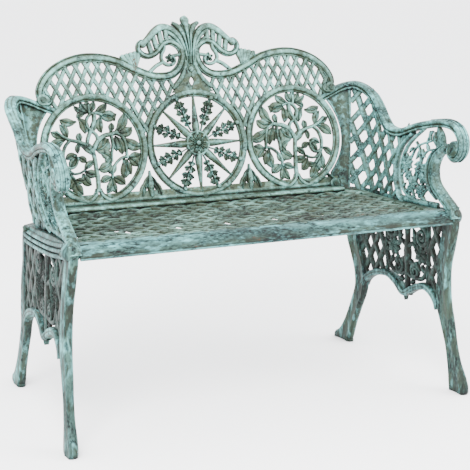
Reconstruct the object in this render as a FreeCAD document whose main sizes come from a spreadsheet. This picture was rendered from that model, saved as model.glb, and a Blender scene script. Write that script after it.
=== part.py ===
"""Cast-iron garden bench: one pierced back, one pierced seat and two end castings, bolted together.

The row frame has +X to the sitter's left along the bench, +Y to the back and +Z up.  The origin
is on the ground, midway between the ends and midway between the front toes and the rear toes.
Lengths are in millimetres and angles in degrees.
"""
import FreeCAD, Part
import math
import os
from FreeCAD import Placement, Rotation, Vector

doc = FreeCAD.newDocument("garden_bench")

# ---------------------------------------------------------------- driving sizes
DRIVING_SIZES = (
    ("bench_width", 1050.0),      # outside to outside of the arm rails
    ("bench_depth", 600.0),       # front toes to rear toes
    ("seat_height", 461.0),       # ground to the seat's front crown
    ("arm_rise", 271.0),          # seat crown to the arm rail's rear end
    ("back_rake", 13.5),          # lean of the back panel
    ("back_setback", 168.0),      # back panel's foot behind the bench's middle
    ("ring_radius", 140.0),       # outside of each of the three rings in the back
    ("ring_width", 20.0),
    ("ring_depth", 12.0),
    ("star_depth", 11.0),
    ("rail_width", 23.0),         # moulded rail along the top of the back
    ("rail_depth", 14.0),
    ("lattice_bar", 9.0),
    ("lattice_pitch", 27.0),
    ("lattice_angle", 62.0),
    ("lattice_depth", 7.0),
    ("foot_rail", 21.0),          # height of the back's bottom rail
    ("cast_wall", 8.0),           # thickness of the end castings' panels
    ("arm_width", 28.0),
    ("leg_width", 26.0),
    ("corner_bend", 60.0),        # outside radius of the rear corner of an end
    ("seat_plate", 7.0),
    ("seat_apron", 30.0),         # depth of the seat's rolled front
    ("seat_bar", 14.0),
    ("seat_gap", 1.0),            # room between the seat and an end
    ("bolt_size", 8.0),
    ("head_size", 15.0),          # across corners of a bolt head and a nut
    ("head_height", 5.5),
    ("nut_height", 6.5),
    ("washer_size", 20.0),
    ("washer_height", 1.6),
    ("bolt_clearance", 0.4),      # hole radius minus bolt radius
)
sheet = doc.addObject("Spreadsheet::Sheet", "Sizes")
for row, (alias, value) in enumerate(DRIVING_SIZES, start=1):
    sheet.set(f"A{row}", alias)
    sheet.set(f"B{row}", str(value))
    sheet.setAlias(f"B{row}", alias)
doc.recompute()


def size(alias):
    """A driving size, read from the sheet."""
    return float(getattr(sheet, alias))


# ---------------------------------------------------------------- places that several pieces share
# The side outlines are drawn at these sizes and stretched to the driving ones.
DRAWN_DEPTH, DRAWN_SEAT, DRAWN_RISE = 600.0, 461.0, 271.0
DRAWN_RADIUS, DRAWN_HALF_PANEL = 140.0, 404.0
ARM_INSET = 121.0                 # arm rail's outside to the outer end of the back's top rail
CROWN_DROP = 6.0                  # seat's rear edge below its front crown
RELIEF_BACK = 5.0                 # tracery reaches this far behind the panel's middle surface

wall = size("cast_wall")
half_panel = size("bench_width") / 2 - ARM_INSET
panel_stretch = half_panel / DRAWN_HALF_PANEL
ring_stretch = size("ring_radius") / DRAWN_RADIUS
seat_rear_top = size("seat_height") - CROWN_DROP
ring_above_foot = size("ring_radius") + 4.5
rake = math.radians(size("back_rake"))
panel_height = seat_rear_top + ring_above_foot * math.cos(rake)
panel_y = size("back_setback") + ring_above_foot * math.sin(rake)
panel_frame = Placement(Vector(0, panel_y, panel_height),
                        Rotation(Vector(1, 0, 0), 90 - size("back_rake")))
medallion_pitch = 277.4 * panel_stretch
arm_reach = size("bench_width") / 2 - size("arm_width") / 2      # middle of the arm rail from the centre


def back_y(height):
    """Where the panel's middle surface is at a height above the ground."""
    return panel_y + (height - panel_height) * math.tan(rake)


def side(y, z):
    """A drawn point of an end's side outline, stretched to the bench's depth and heights."""
    y = y * size("bench_depth") / DRAWN_DEPTH
    if z <= DRAWN_SEAT:
        return y, z * size("seat_height") / DRAWN_SEAT
    return y, size("seat_height") + (z - DRAWN_SEAT) * size("arm_rise") / DRAWN_RISE


def panel(u, v):
    """A drawn point of the back's tracery, stretched to the panel's half width and ring size."""
    return u * panel_stretch, v * ring_stretch


# ---------------------------------------------------------------- flat outlines
def spline(points):
    """A smooth edge through points."""
    curve = Part.BSplineCurve()
    curve.interpolate([Vector(*point) for point in points])
    return curve.toShape()


def outline(*stretches):
    """A closed face from stretches of points: three or more are a smooth curve, two a straight line."""
    edges = []
    for index, stretch in enumerate(stretches):
        if len(stretch) > 2:
            edges.append(spline(stretch))
        else:
            edges.append(Part.makeLine(Vector(*stretch[0]), Vector(*stretch[1])))
        gap_start, gap_end = stretch[-1], stretches[(index + 1) % len(stretches)][0]
        if math.dist(gap_start, gap_end) > 1e-6:
            edges.append(Part.makeLine(Vector(*gap_start), Vector(*gap_end)))
    return Part.Face(Part.Wire(edges))


def ribbon(points, width):
    """A band of even width along a smooth line through points, in the XY plane."""
    curve = Part.BSplineCurve()
    curve.interpolate([Vector(x, y, 0) for x, y in points])
    first, last = curve.FirstParameter, curve.LastParameter
    count = 2 * len(points)
    left, right = [], []
    for step in range(count + 1):
        at = first + (last - first) * step / count
        across = Vector(0, 0, 1).cross(curve.tangent(at)[0]).normalize() * (width / 2)
        left.append(curve.value(at) + across)
        right.append(curve.value(at) - across)
    return outline([tuple(p) for p in left], [tuple(p) for p in reversed(right)])


LEAF_ROOT = 6.0


def leaf(base, tip, half_width):
    """A pointed leaf from base to tip, in the XY plane, its base sunk into what it grows from."""
    start, end = Vector(*base, 0), Vector(*tip, 0)
    start = start + (start - end).normalize() * LEAF_ROOT
    swell = Vector(0, 0, 1).cross(end - start).normalize() * half_width
    middle = start + (end - start) * 0.45
    return outline([tuple(start), tuple(middle + swell), tuple(end)],
                   [tuple(end), tuple(middle - swell), tuple(start)])


def both_sides(shapes):
    """The shapes and their mirror images about the bench's middle."""
    mirrored = [shape.mirror(Vector(0, 0, 0), Vector(1, 0, 0)) for shape in shapes]
    return list(shapes) + mirrored


def raised(faces, back, front):
    """Faces in the panel's own plane given depth, and set in place in the raked panel."""
    solids = []
    for face in faces:
        solid = face.extrude(Vector(0, 0, front - back))
        solid.translate(Vector(0, 0, back))
        solids.append(solid)
    return solids


def feature(name, shape, placement=None):
    """A document object that holds a shape made here."""
    made = doc.addObject("Part::Feature", name)
    made.Shape = shape
    if placement is not None:
        made.Placement = placement
    return made


def primitive(kind, name, bindings, placement=None):
    """A Part primitive whose properties are bound to the sheet."""
    made = doc.addObject(kind, name)
    for prop, expression in bindings.items():
        made.setExpression(prop, expression)
    if placement is not None:
        made.Placement = placement
    return made


def combined(kind, name, base, tool):
    """A two-piece boolean."""
    made = doc.addObject(kind, name)
    made.Base = base
    made.Tool = tool
    return made


# ---------------------------------------------------------------- back casting: rings and star
def in_panel(u, v, w=0.0):
    """A place in the raked panel: u across, v up the panel, w out of its front."""
    return panel_frame.multiply(Placement(Vector(u, v, w), Rotation()))


back_pieces = []
for name, centre in (("left_ring", medallion_pitch), ("centre_ring", 0.0), ("right_ring", -medallion_pitch)):
    disc = primitive("Part::Cylinder", name + "_disc",
                     {"Radius": "Sizes.ring_radius", "Height": "Sizes.ring_depth"},
                     in_panel(centre, 0, -RELIEF_BACK))
    opening = primitive("Part::Cylinder", name + "_opening",
                        {"Radius": "Sizes.ring_radius - Sizes.ring_width",
                         "Height": "Sizes.ring_depth"},
                        in_panel(centre, 0, -RELIEF_BACK))
    back_pieces.append(combined("Part::Cut", name, disc, opening))

back_pieces.append(primitive("Part::Cylinder", "star_hub",
                             {"Radius": "Sizes.ring_radius * 0.235", "Height": "Sizes.star_depth"},
                             in_panel(0, 0, -RELIEF_BACK)))
SPOKES = 8
spoke_reach = size("ring_radius") - size("ring_width") / 2
spokes = []
for index in range(SPOKES):
    turn = 360.0 / SPOKES * index
    ray = outline([(0, -3, 0), (0, 3, 0)], [(42, 10.5, 0), (spoke_reach, 2, 0)],
                  [(spoke_reach, -2, 0), (42, -10.5, 0)])
    spray = leaf((40, 0), (spoke_reach, 0), 15)
    ray.rotate(Vector(0, 0, 0), Vector(0, 0, 1), turn)
    spray.rotate(Vector(0, 0, 0), Vector(0, 0, 1), turn + 180.0 / SPOKES)
    spokes += raised([ray], -RELIEF_BACK, 5) + raised([spray], -RELIEF_BACK, 3)
back_pieces.append(feature("star", spokes[0].multiFuse(spokes[1:]), panel_frame))

# ---------------------------------------------------------------- back casting: rails and tracery
TOP_RAIL = [(402, 130), (404, 154), (390, 178), (366, 200), (337, 216), (303, 226), (270, 229),
            (231, 225), (193, 214), (164, 199), (135, 186), (106, 176), (77, 174), (53, 179),
            (34, 193), (21, 214)]
CREST_SCROLL = [(21, 214), (19, 236), (29, 253), (48, 262), (67, 258), (82, 247), (96, 237),
                (114, 231), (129, 240), (130, 256)]
CREST_BROW = [(133, 256), (128, 266), (106, 270), (91, 284), (72, 297), (53, 304), (34, 308), (0, 312)]
CREST_TIES = [[(62, 256), (60, 302)], [(84, 244), (88, 287)], [(30, 252), (30, 310)]]
PLUME = [[(0, 200), (26, 172), (53, 138)], [(0, 214), (0, 170), (0, 134)], [(-24, 216), (24, 216)],
         [(0, 200), (0, 260), (0, 312)]]


def placed(points):
    """Drawn tracery points, stretched to the panel."""
    return [panel(u, v) for u, v in points]


rails = both_sides([ribbon(placed(TOP_RAIL), size("rail_width"))])
scrolls = both_sides([ribbon(placed(CREST_SCROLL), 16), ribbon(placed(CREST_BROW), 14)]
                     + [ribbon(placed(tie), 9) for tie in CREST_TIES])
plume = both_sides([ribbon(placed(vein), 12) for vein in PLUME])
finial = [Part.Face(Part.Wire(Part.makeCircle(12, Vector(*panel(0, 318), 0))))]
moulded = raised(rails, -RELIEF_BACK, size("rail_depth") - RELIEF_BACK)
crest = raised(scrolls + plume + finial, -RELIEF_BACK, size("rail_depth") - RELIEF_BACK - 3)
rail_shape = moulded[0].multiFuse(moulded[1:] + crest)
back_pieces.append(feature("rails_and_crest", rail_shape, panel_frame))

# Foliage of a side medallion, drawn about the medallion's own centre.
BRANCHES = [[(0, -124), (0, -60), (0, 40), (0, 128)],
            [(0, -26), (14, 34), (48, 44), (80, 14), (78, -34)],
            [(1, -34), (-22, 30), (-54, 40), (-84, 8), (-80, -40)],
            [(-1, -66), (24, -44), (46, -54), (44, -84)], [(1, -74), (-24, -48), (-46, -56), (-44, -84)]]
LEAVES = [((8, 6), (40, 8)), ((-10, 4), (-44, 6)), ((47, 41), (66, 80)), ((-53, 37), (-72, 78)),
          ((-1, 60), (38, 100)), ((1, 66), (-38, 100)), ((77, 14), (126, 20)), ((-81, 9), (-128, 14)),
          ((76, -32), (116, -56)), ((-79, -37), (-114, -60)), ((79, -30), (40, -14)),
          ((-83, -34), (-42, -18)), ((43, -82), (84, -94)), ((-43, -80), (-84, -94)),
          ((12, 32), (30, 76)), ((-20, 30), (-34, 74)), ((45, -80), (28, -122)), ((-45, -82), (-28, -122))]


def scaled(point):
    """A foliage point at the ring's size."""
    return point[0] * ring_stretch, point[1] * ring_stretch


foliage = [ribbon([scaled(p) for p in branch], 8) for branch in BRANCHES]
foliage += [leaf(scaled(base), scaled(tip), 10) for base, tip in LEAVES]
growth = raised(foliage, -RELIEF_BACK, 3)
growth_shape = growth[0].multiFuse(growth[1:])
for name, centre in (("left_foliage", medallion_pitch), ("right_foliage", -medallion_pitch)):
    back_pieces.append(feature(name, growth_shape.copy(), in_panel(centre, 0)))

# Woven lattice between the top rail and the rings.
lattice_field = outline([(*p, 0) for p in placed(TOP_RAIL[:13])],
                        [(*panel(77, 174), 0), (*panel(62, 100), 0)],
                        [(*panel(277, 100), 0), (*panel(372, 100), 0)])
for centre in (0.0, medallion_pitch):
    clear = Part.Face(Part.Wire(Part.makeCircle(size("ring_radius") - size("ring_width") / 2,
                                                Vector(centre, 0, 0))))
    lattice_field = lattice_field.cut(clear)
field = lattice_field.extrude(Vector(0, 0, size("lattice_depth")))
slant = math.radians(size("lattice_angle"))
reach = 300 * ring_stretch
bar_count = int((half_panel + reach) / size("lattice_pitch"))
woven_bars = []
for lean in (-1, 1):
    layer = []
    for index in range(-bar_count // 2, bar_count + 1):
        along = Vector(lean * math.cos(slant), math.sin(slant), 0)
        across = Vector(-along.y, along.x, 0) * (size("lattice_bar") / 2)
        foot = Vector(index * size("lattice_pitch"), 0, 0)
        head = foot + along * reach
        corners = [foot + across, head + across, head - across, foot - across, foot + across]
        layer.append(Part.Face(Part.makePolygon(corners)).extrude(Vector(0, 0, size("lattice_depth"))))
    woven_bars += field.common(Part.makeCompound(layer)).Solids
woven = woven_bars[0].multiFuse(woven_bars[1:])
woven.translate(Vector(0, 0, -size("lattice_depth") / 2))
for name, shape in zip(("left_lattice", "right_lattice"), both_sides([woven])):
    back_pieces.append(feature(name, shape, panel_frame))

# Bottom rail, with bosses at the four bolt places.
UPPER_BOLT, LOWER_BOLT_INSET = (400.0, 128.0), 12.0
foot_half = half_panel - 6
upper_bolt = panel(*UPPER_BOLT)
lower_bolt = (foot_half - LOWER_BOLT_INSET, -ring_above_foot + size("foot_rail") / 2 + 3)
back_front = size("rail_depth") - RELIEF_BACK
foot_rail = Part.makeBox(2 * foot_half, size("foot_rail") + 6, back_front + RELIEF_BACK,
                         Vector(-foot_half, -ring_above_foot - 6, -RELIEF_BACK))
bosses = [Part.makeCylinder(size("washer_size") / 2 + 3, back_front + RELIEF_BACK,
                            Vector(u, v, -RELIEF_BACK)) for u, v in (upper_bolt, lower_bolt)]
drops = raised([leaf((medallion_pitch / 2, -62 * ring_stretch), (medallion_pitch / 2, -140 * ring_stretch),
                     15)], -RELIEF_BACK, 4)
foot_shape = foot_rail.multiFuse(both_sides(bosses + drops))
back_pieces.append(feature("foot_rail_and_bosses", foot_shape, panel_frame))
LEDGE_REACH, LEDGE_HEIGHT = 34.0, 7.0
ledge = primitive("Part::Box", "ledge", {},
                  Placement(Vector(-foot_half, size("back_setback") - LEDGE_REACH, seat_rear_top), Rotation()))
ledge.Length, ledge.Width, ledge.Height = 2 * foot_half, LEDGE_REACH, LEDGE_HEIGHT
back_pieces.append(ledge)
whole_back = back_pieces[0]
for piece in back_pieces[1:]:
    whole_back = combined("Part::Fuse", "back_with_" + piece.Name, whole_back, piece)
doc.recompute()

# ---------------------------------------------------------------- end castings
FRONT_TOE, REAR_TOE = -300.0, 300.0


def wall_middle(y, z):
    """How far out the middle of an end's wall stands below the seat, at a drawn depth and height.

    It runs straight between four corners: front and rear at the ground, front and rear at the seat.
    """
    forward = (REAR_TOE - y) / (REAR_TOE - FRONT_TOE)
    up = z / DRAWN_SEAT
    ground = arm_reach - 37 + 36 * forward
    seat_level = arm_reach - 47 + 24 * forward
    return ground + (seat_level - ground) * up


def lower_plan(z, thickness):
    """The plan of the wall below the seat, at a drawn height."""
    corners = []
    for y, offset in ((FRONT_TOE, -0.5), (REAR_TOE, -0.5), (REAR_TOE, 0.5), (FRONT_TOE, 0.5)):
        out = wall_middle(y, z) + offset * thickness
        corners.append(Vector(out, *side(y, z)))
    return Part.makePolygon(corners + corners[:1])


def upper_plan(z, outside, grow_out, grow_in):
    """The plan of the wall above the seat: front, middle, rounded rear corner and rear flange.

    outside lists how far out the wall's outer face stands at the front, the middle and the rear.
    grow_out and grow_in thicken it both ways, for the arm rail.
    """
    height = side(0, z)[1]
    front, middle, rear = [reach_out + grow_out for reach_out in outside]
    inward = wall + grow_out + grow_in
    bend = size("corner_bend") + grow_out
    rear_face = back_y(height) + (RELIEF_BACK + wall) / math.cos(rake) + grow_out
    flange_end = foot_half - 26
    front_y, middle_y = side(-300, z)[0], side(-60, z)[0]
    turn = math.sqrt(0.5)
    centre = Vector(rear - bend, rear_face - bend, height)

    def at(x, y):
        return Vector(x, y, height)

    inner_corner = Part.Arc(at(rear - inward, centre.y),
                            centre + Vector(turn, turn, 0) * (bend - inward),
                            at(centre.x, rear_face - inward)).toShape()
    outer_corner = Part.Arc(at(centre.x, rear_face), centre + Vector(turn, turn, 0) * bend,
                            at(rear, centre.y)).toShape()
    edges = [Part.makeLine(at(front - inward, front_y), at(middle - inward, middle_y)),
             Part.makeLine(at(middle - inward, middle_y), at(rear - inward, centre.y)),
             inner_corner,
             Part.makeLine(at(centre.x, rear_face - inward), at(flange_end, rear_face - inward)),
             Part.makeLine(at(flange_end, rear_face - inward), at(flange_end, rear_face)),
             Part.makeLine(at(flange_end, rear_face), at(centre.x, rear_face)),
             outer_corner,
             Part.makeLine(at(rear, centre.y), at(middle, middle_y)),
             Part.makeLine(at(middle, middle_y), at(front, front_y)),
             Part.makeLine(at(front, front_y), at(front - inward, front_y))]
    return Part.Wire(edges)


SEAT_LEVEL, ARM_LEVEL = 440.0, 736.0
seat_outside = [arm_reach - 21, arm_reach - 41, arm_reach - 41]
arm_outside = [arm_reach + 4, arm_reach + 4, arm_reach - 4]


def upper_wall(grow_out=0.0, grow_in=0.0):
    plans = [upper_plan(SEAT_LEVEL, seat_outside, grow_out, grow_in),
             upper_plan(ARM_LEVEL, arm_outside, grow_out, grow_in)]
    return Part.makeLoft(plans, True, True)


def lower_wall(thickness):
    return Part.makeLoft([lower_plan(0, thickness), lower_plan(DRAWN_SEAT, thickness)], True, True)


def side_prism(*stretches):
    """A prism along X whose outline is drawn in depth and height."""
    drawn = [[(0, *side(y, z)) for y, z in stretch] for stretch in stretches]
    return outline(*drawn).extrude(Vector(size("bench_width"), 0, 0))


def side_band(points, width):
    """A prism along X whose outline is a band along a drawn line of depth and height."""
    face = ribbon([side(y, z) for y, z in points], width)
    face.Placement = Placement(Vector(0, 0, 0), Rotation(Vector(1, 1, 1), 120))
    return face.extrude(Vector(size("bench_width"), 0, 0))


ARM_LINE = [(262, 726), (226, 718), (173, 700), (121, 668), (93, 643), (59, 623), (5, 622), (-69, 646),
            (-142, 661), (-205, 655)]
STILE_LINE = [(-176, 604), (-156, 585), (-149, 550), (-168, 510), (-209, 484), (-250, 458)]
SCROLL_CENTRE, SCROLL_RADIUS = (-214, 627), 38.0
FRONT_LEG_FRONT = [(-266, 458), (-266, 432), (-249, 373), (-232, 318), (-231, 267), (-238, 217),
                   (-248, 168), (-258, 118), (-274, 71), (-294, 38), (-300, 18)]
FRONT_LEG_REAR = [(-235, 0), (-231, 59), (-223, 110), (-206, 158), (-185, 205)]
REAR_LEG_REAR = [(178, 461), (205, 430), (217, 380), (217, 308), (199, 269), (182, 216), (188, 171),
                 (208, 123), (239, 63), (270, 24), (300, 10)]
REAR_LEG_FRONT = [(215, 0), (200, 52), (180, 101), (154, 160), (135, 196)]
ARCH_LINE = [(-185, 214), (-156, 238), (-127, 242), (-88, 229), (-42, 208), (-6, 228), (30, 241),
             (71, 237), (109, 226), (140, 206)]

# The seat's place, which the two ends keep clear of.
NOSE = 266.0                      # seat's front edge ahead of the bench's middle
DIP = 10.5                        # lowest part of the seat below its crown
WASHER_ROOM = 3.0                 # room between a washer under the seat and the seat
seat_front = -side(NOSE, 0)[0]
seat_rear = size("back_setback") - 1.0
crown = size("seat_height")
plate = size("seat_plate")


def seat_half_width(y):
    """The seat's half width: it follows the inner faces of the two ends."""
    drawn_y = y * DRAWN_DEPTH / size("bench_depth")
    return wall_middle(drawn_y, SEAT_LEVEL) - size("leg_width") / 2 - 2 * size("seat_gap")


def seat_plan(inset, low, high):
    """The seat's plan as a prism: straight sides that follow the ends, rounded rear corners."""
    rear_half, front_half = seat_half_width(seat_rear) - inset, seat_half_width(seat_front) - inset
    bend = size("corner_bend") - inset
    rear = seat_rear - inset
    side_y = rear - bend
    side_x = rear_half + (front_half - rear_half) * bend / (rear - seat_front)
    turn = math.sqrt(0.5)
    edges = []
    for sign in (1, -1):
        middle = Vector(sign * (side_x - bend + bend * turn), side_y + bend * turn, low)
        arc = Part.Arc(Vector(sign * side_x, side_y, low), middle,
                       Vector(sign * (side_x - bend), rear, low)).toShape()
        run = Part.makeLine(Vector(sign * front_half, seat_front - 5, low), Vector(sign * side_x, side_y, low))
        edges += [run, arc]
    edges.append(Part.makeLine(Vector(side_x - bend, rear, low), Vector(bend - side_x, rear, low)))
    edges.append(Part.makeLine(Vector(front_half, seat_front - 5, low), Vector(-front_half, seat_front - 5, low)))
    return Part.Face(Part.Wire(Part.sortEdges(edges)[0])).extrude(Vector(0, 0, high - low))


thick, thin = lower_wall(size("leg_width")), lower_wall(wall)
front_leg = side_prism(FRONT_LEG_FRONT, [(-300, 18), (-296, 0)], FRONT_LEG_REAR,
                       [(-185, 205), (-202, 300), (-208, 461)])
rear_leg = side_prism(REAR_LEG_REAR, [(300, 10), (300, 0)], REAR_LEG_FRONT,
                      [(135, 196), (158, 250), (180, 308), (180, 380), (150, 461)])
belt = side_prism([(-262, 432), (178, 432)], [(190, 461), (-262, 461)])
arch = side_band(ARCH_LINE, 18)
lower_panel = side_prism([(-205, 461), (-202, 300)], [(-202, 300), (-185, 214)], ARCH_LINE,
                         [(140, 206), (175, 308)], [(175, 308), (165, 461)])
arm_band = side_band(ARM_LINE, 20)
stile_band = side_band(STILE_LINE, 20)
scroll_y, scroll_z = side(*SCROLL_CENTRE)
scroll_roll = Part.makeCylinder(SCROLL_RADIUS, size("arm_width"),
                                Vector(arm_reach - size("arm_width") / 2, scroll_y, scroll_z), Vector(1, 0, 0))
upper_panel = side_prism(ARM_LINE, [(-205, 655), (-176, 604)], STILE_LINE, [(-250, 458), (-250, 445)],
                         [(320, 445), (320, 726)])
rail_growth = (size("arm_width") - wall) / 2
rail_wall = upper_wall(rail_growth, rail_growth)

# Diamond piercings in both panels of an end, clear of their rims.
DIAMOND_Y, DIAMOND_Z = 13.0, 20.0
PIERCED_Y, PIERCED_UP, PIERCED_DOWN = (-168, 150), (478, 700), (262, 420)
diamonds = []
row_step, column_step = 52.0, 34.0
for low, high in (PIERCED_DOWN, PIERCED_UP):
    rows = int((high - low) / (row_step / 2))
    columns = int((PIERCED_Y[1] - PIERCED_Y[0]) / column_step)
    for row in range(rows + 1):
        for column in range(columns + 1):
            y = PIERCED_Y[0] + column_step * (column + 0.5 * (row % 2))
            z = low + row * row_step / 2
            corners = [(y - DIAMOND_Y, z), (y, z + DIAMOND_Z), (y + DIAMOND_Y, z), (y, z - DIAMOND_Z)]
            diamonds.append(side_prism(corners[:2], corners[1:3], corners[2:], [corners[3], corners[0]]))
pierced_field = side_prism([(-125, 478), (-128, 640), (-70, 632), (5, 606), (59, 606), (130, 655)],
                           [(130, 478), (-125, 478)]).fuse(
    side_prism([(-178, 420), (-174, 280), (-120, 262), (-42, 250), (40, 262), (130, 258), (150, 420)]))
piercings = pierced_field.common(Part.makeCompound(diamonds))

# Seat bolts run along X through a boss on the end and a boss on the seat's rim.
# Each is named with its drawn depth and how far the seat's top there lies below the crown.
SEAT_BOLTS = (("front", -225.0, 0.0), ("rear", 105.0, DIP))
BOSS_PROUD = 1.5                  # a bolt boss stands this far out of its leg
boss_radius = size("washer_size") / 2 + 2
end_bosses, end_holes, seat_bolt_places = [], [], []
for name, y, dish in SEAT_BOLTS:
    at_z = crown - dish - plate - size("washer_size") / 2 - WASHER_ROOM
    at_y = side(y, 0)[0]
    z = at_z * DRAWN_SEAT / size("seat_height")
    inner = wall_middle(y, z) - size("leg_width") / 2 - size("seat_gap")
    outer = wall_middle(y, z) + size("leg_width") / 2 + BOSS_PROUD
    end_bosses.append(Part.makeCylinder(boss_radius, outer - inner, Vector(inner, at_y, at_z),
                                        Vector(1, 0, 0)))
    end_holes.append(Part.makeCylinder(size("bolt_size") / 2 + size("bolt_clearance"), size("bench_width"),
                                       Vector(0, at_y, at_z), Vector(1, 0, 0)))
    seat_bolt_places.append((name, inner, outer, at_y, at_z))

# The arm rail is cut flat behind the flange, where the back's nuts and washers sit.
hole_radius = size("bolt_size") / 2 + size("bolt_clearance")
flange_rear = RELIEF_BACK + wall
panel_holes, nut_seats = [], []
for u, v in (upper_bolt, lower_bolt):
    for sign in (1, -1):
        hole = Part.makeCylinder(hole_radius, 80, Vector(sign * u, v, -40))
        hole.Placement = panel_frame.multiply(hole.Placement)
        panel_holes.append(hole)
        nut_seat = Part.makeCylinder(boss_radius, 60, Vector(sign * u, v, -flange_rear - 60))
        nut_seat.Placement = panel_frame.multiply(nut_seat.Placement)
        nut_seats.append(nut_seat)

# The rear flange stands clear of the medallion beside it, and of the seat under the back.
FLANGE_GAP = 8.0
ring_clear = Part.makeCylinder(size("ring_radius") + FLANGE_GAP, 120, Vector(medallion_pitch, 0, -60))
ring_clear.Placement = panel_frame.multiply(ring_clear.Placement)
BACK_ROOM = 12.0                  # the back's end bosses reach this far past its panel
back_clear = Part.makeBox(2 * (half_panel + BACK_ROOM), 600, 100,
                          Vector(-half_panel - BACK_ROOM, -300, -RELIEF_BACK))
back_clear.Placement = panel_frame.multiply(back_clear.Placement)
seat_clear = seat_plan(-size("seat_gap") / 2, crown - size("seat_apron"), crown + size("seat_gap"))
frame_parts = [thick.common(part) for part in (front_leg, rear_leg, belt, arch)]
frame_parts += [rail_wall.common(part) for part in (arm_band, stile_band)]
panels = [thin.common(lower_panel), upper_wall().common(upper_panel)]
end_shape = panels[0].multiFuse([panels[1]])
end_shape = end_shape.cut(piercings)
end_shape = end_shape.multiFuse(frame_parts + end_bosses + [scroll_roll])
end_shape = end_shape.cut(Part.makeCompound([ring_clear] + end_holes + panel_holes))
for room in nut_seats + [back_clear, seat_clear]:
    end_shape = end_shape.cut(room)
left_end = feature("left_end", end_shape)
left_end.Label = "left_end_casting"
right_end = doc.addObject("Part::Mirroring", "right_end")
right_end.Source = left_end
right_end.Normal = Vector(1, 0, 0)
right_end.Label = "right_end_casting"

# ---------------------------------------------------------------- seat casting
hollow_y = seat_front + (seat_rear - seat_front) * 0.73


def seat_top_line(inset):
    """The seat's crowned and dished profile, inset from the top surface."""
    return [(0, seat_rear, seat_rear_top - inset), (0, hollow_y, crown - DIP - inset),
            (0, seat_front + 90, crown - 4 - inset), (0, seat_front + 38, crown - inset)]


def nose_line(inset):
    return [(0, seat_front + 38, crown - inset), (0, seat_front + 10, crown - 9 - inset * 0.7),
            (0, seat_front + inset, crown - size("seat_apron"))]


profile = outline(seat_top_line(0), nose_line(0),
                  list(reversed(nose_line(plate))), list(reversed(seat_top_line(plate))))
slab = profile.extrude(Vector(size("bench_width"), 0, 0))
slab.translate(Vector(-size("bench_width") / 2, 0, 0))


SEAT_RIM = 26.0
slab = slab.common(seat_plan(0, 300, 700))
PITCH_X, PITCH_Y = 62.0, 53.0
cell = PITCH_X * PITCH_Y / 4 / math.hypot(PITCH_X / 2, PITCH_Y / 2)
shrink = 1 - size("seat_bar") / 2 / cell
hole_x, hole_y = PITCH_X / 2 * shrink, PITCH_Y / 2 * shrink
mesh_depth = seat_rear - seat_front - 2 * SEAT_RIM
columns = int(seat_half_width(seat_front) / PITCH_X) + 1
rows = int(mesh_depth / PITCH_Y)
mesh_holes = []
for row in range(2 * rows + 1):
    for column in range(-columns, columns + 1):
        x = (column + 0.5 * (row % 2)) * PITCH_X
        y = seat_front + SEAT_RIM + 10 + PITCH_Y / 2 * (row + 0.5)
        if abs(x) + hole_x > seat_half_width(y) - SEAT_RIM + 6 or y + hole_y > seat_rear - SEAT_RIM:
            continue
        corners = [Vector(x - hole_x, y, 300), Vector(x, y + hole_y, 300), Vector(x + hole_x, y, 300),
                   Vector(x, y - hole_y, 300), Vector(x - hole_x, y, 300)]
        mesh_holes.append(Part.Face(Part.makePolygon(corners)).extrude(Vector(0, 0, 400)))
slab = slab.cut(Part.makeCompound(mesh_holes))

skirt_low = crown - size("seat_apron") - 2
skirt = seat_plan(0, skirt_low, crown - DIP - plate / 2).cut(seat_plan(plate, skirt_low - 5, crown))
skirt = skirt.cut(Part.makeBox(3000, 60, 500, Vector(-1500, seat_front - 59, 200)))
seat_bosses = []
BOSS_DEEP = 2.0                   # a seat boss reaches this far inside its rim
for name, inner, outer, y, z in seat_bolt_places:
    inside = seat_half_width(y) - plate - BOSS_DEEP
    boss = Part.makeCylinder(boss_radius, inner - inside, Vector(inside, y, z), Vector(1, 0, 0))
    seat_bosses.append(boss)
hole_compound = Part.makeCompound(both_sides(end_holes))
centre_bolt_y = size("back_setback") - LEDGE_REACH + 14
centre_hole = Part.makeCylinder(hole_radius, 60, Vector(0, centre_bolt_y, seat_rear_top - 30))
centre_pad = Part.makeCylinder(boss_radius, 12, Vector(0, centre_bolt_y, seat_rear_top - 12))
under_ledge = Part.makeBox(2 * boss_radius, 2 * boss_radius, 60,
                           Vector(-boss_radius, centre_bolt_y - boss_radius, seat_rear_top))
seat_shape = slab.multiFuse([skirt, centre_pad] + both_sides(seat_bosses))
seat_shape = seat_shape.cut(Part.makeCompound([hole_compound, centre_hole, under_ledge]))
seat = feature("seat", seat_shape)
seat.Label = "seat_casting"

# The back stands on the seat: nothing of it is lower than the seat's rear edge, and its ledge
# rests on the seat's pads.
below_ledge = feature("below_ledge", Part.makeCompound(
    [Part.makeBox(3000, 3000, 400, Vector(-1500, -1500, seat_rear_top - 400)), centre_hole] + panel_holes))
back = combined("Part::Cut", "back", whole_back, below_ledge)
back.Label = "back_casting"

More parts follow.
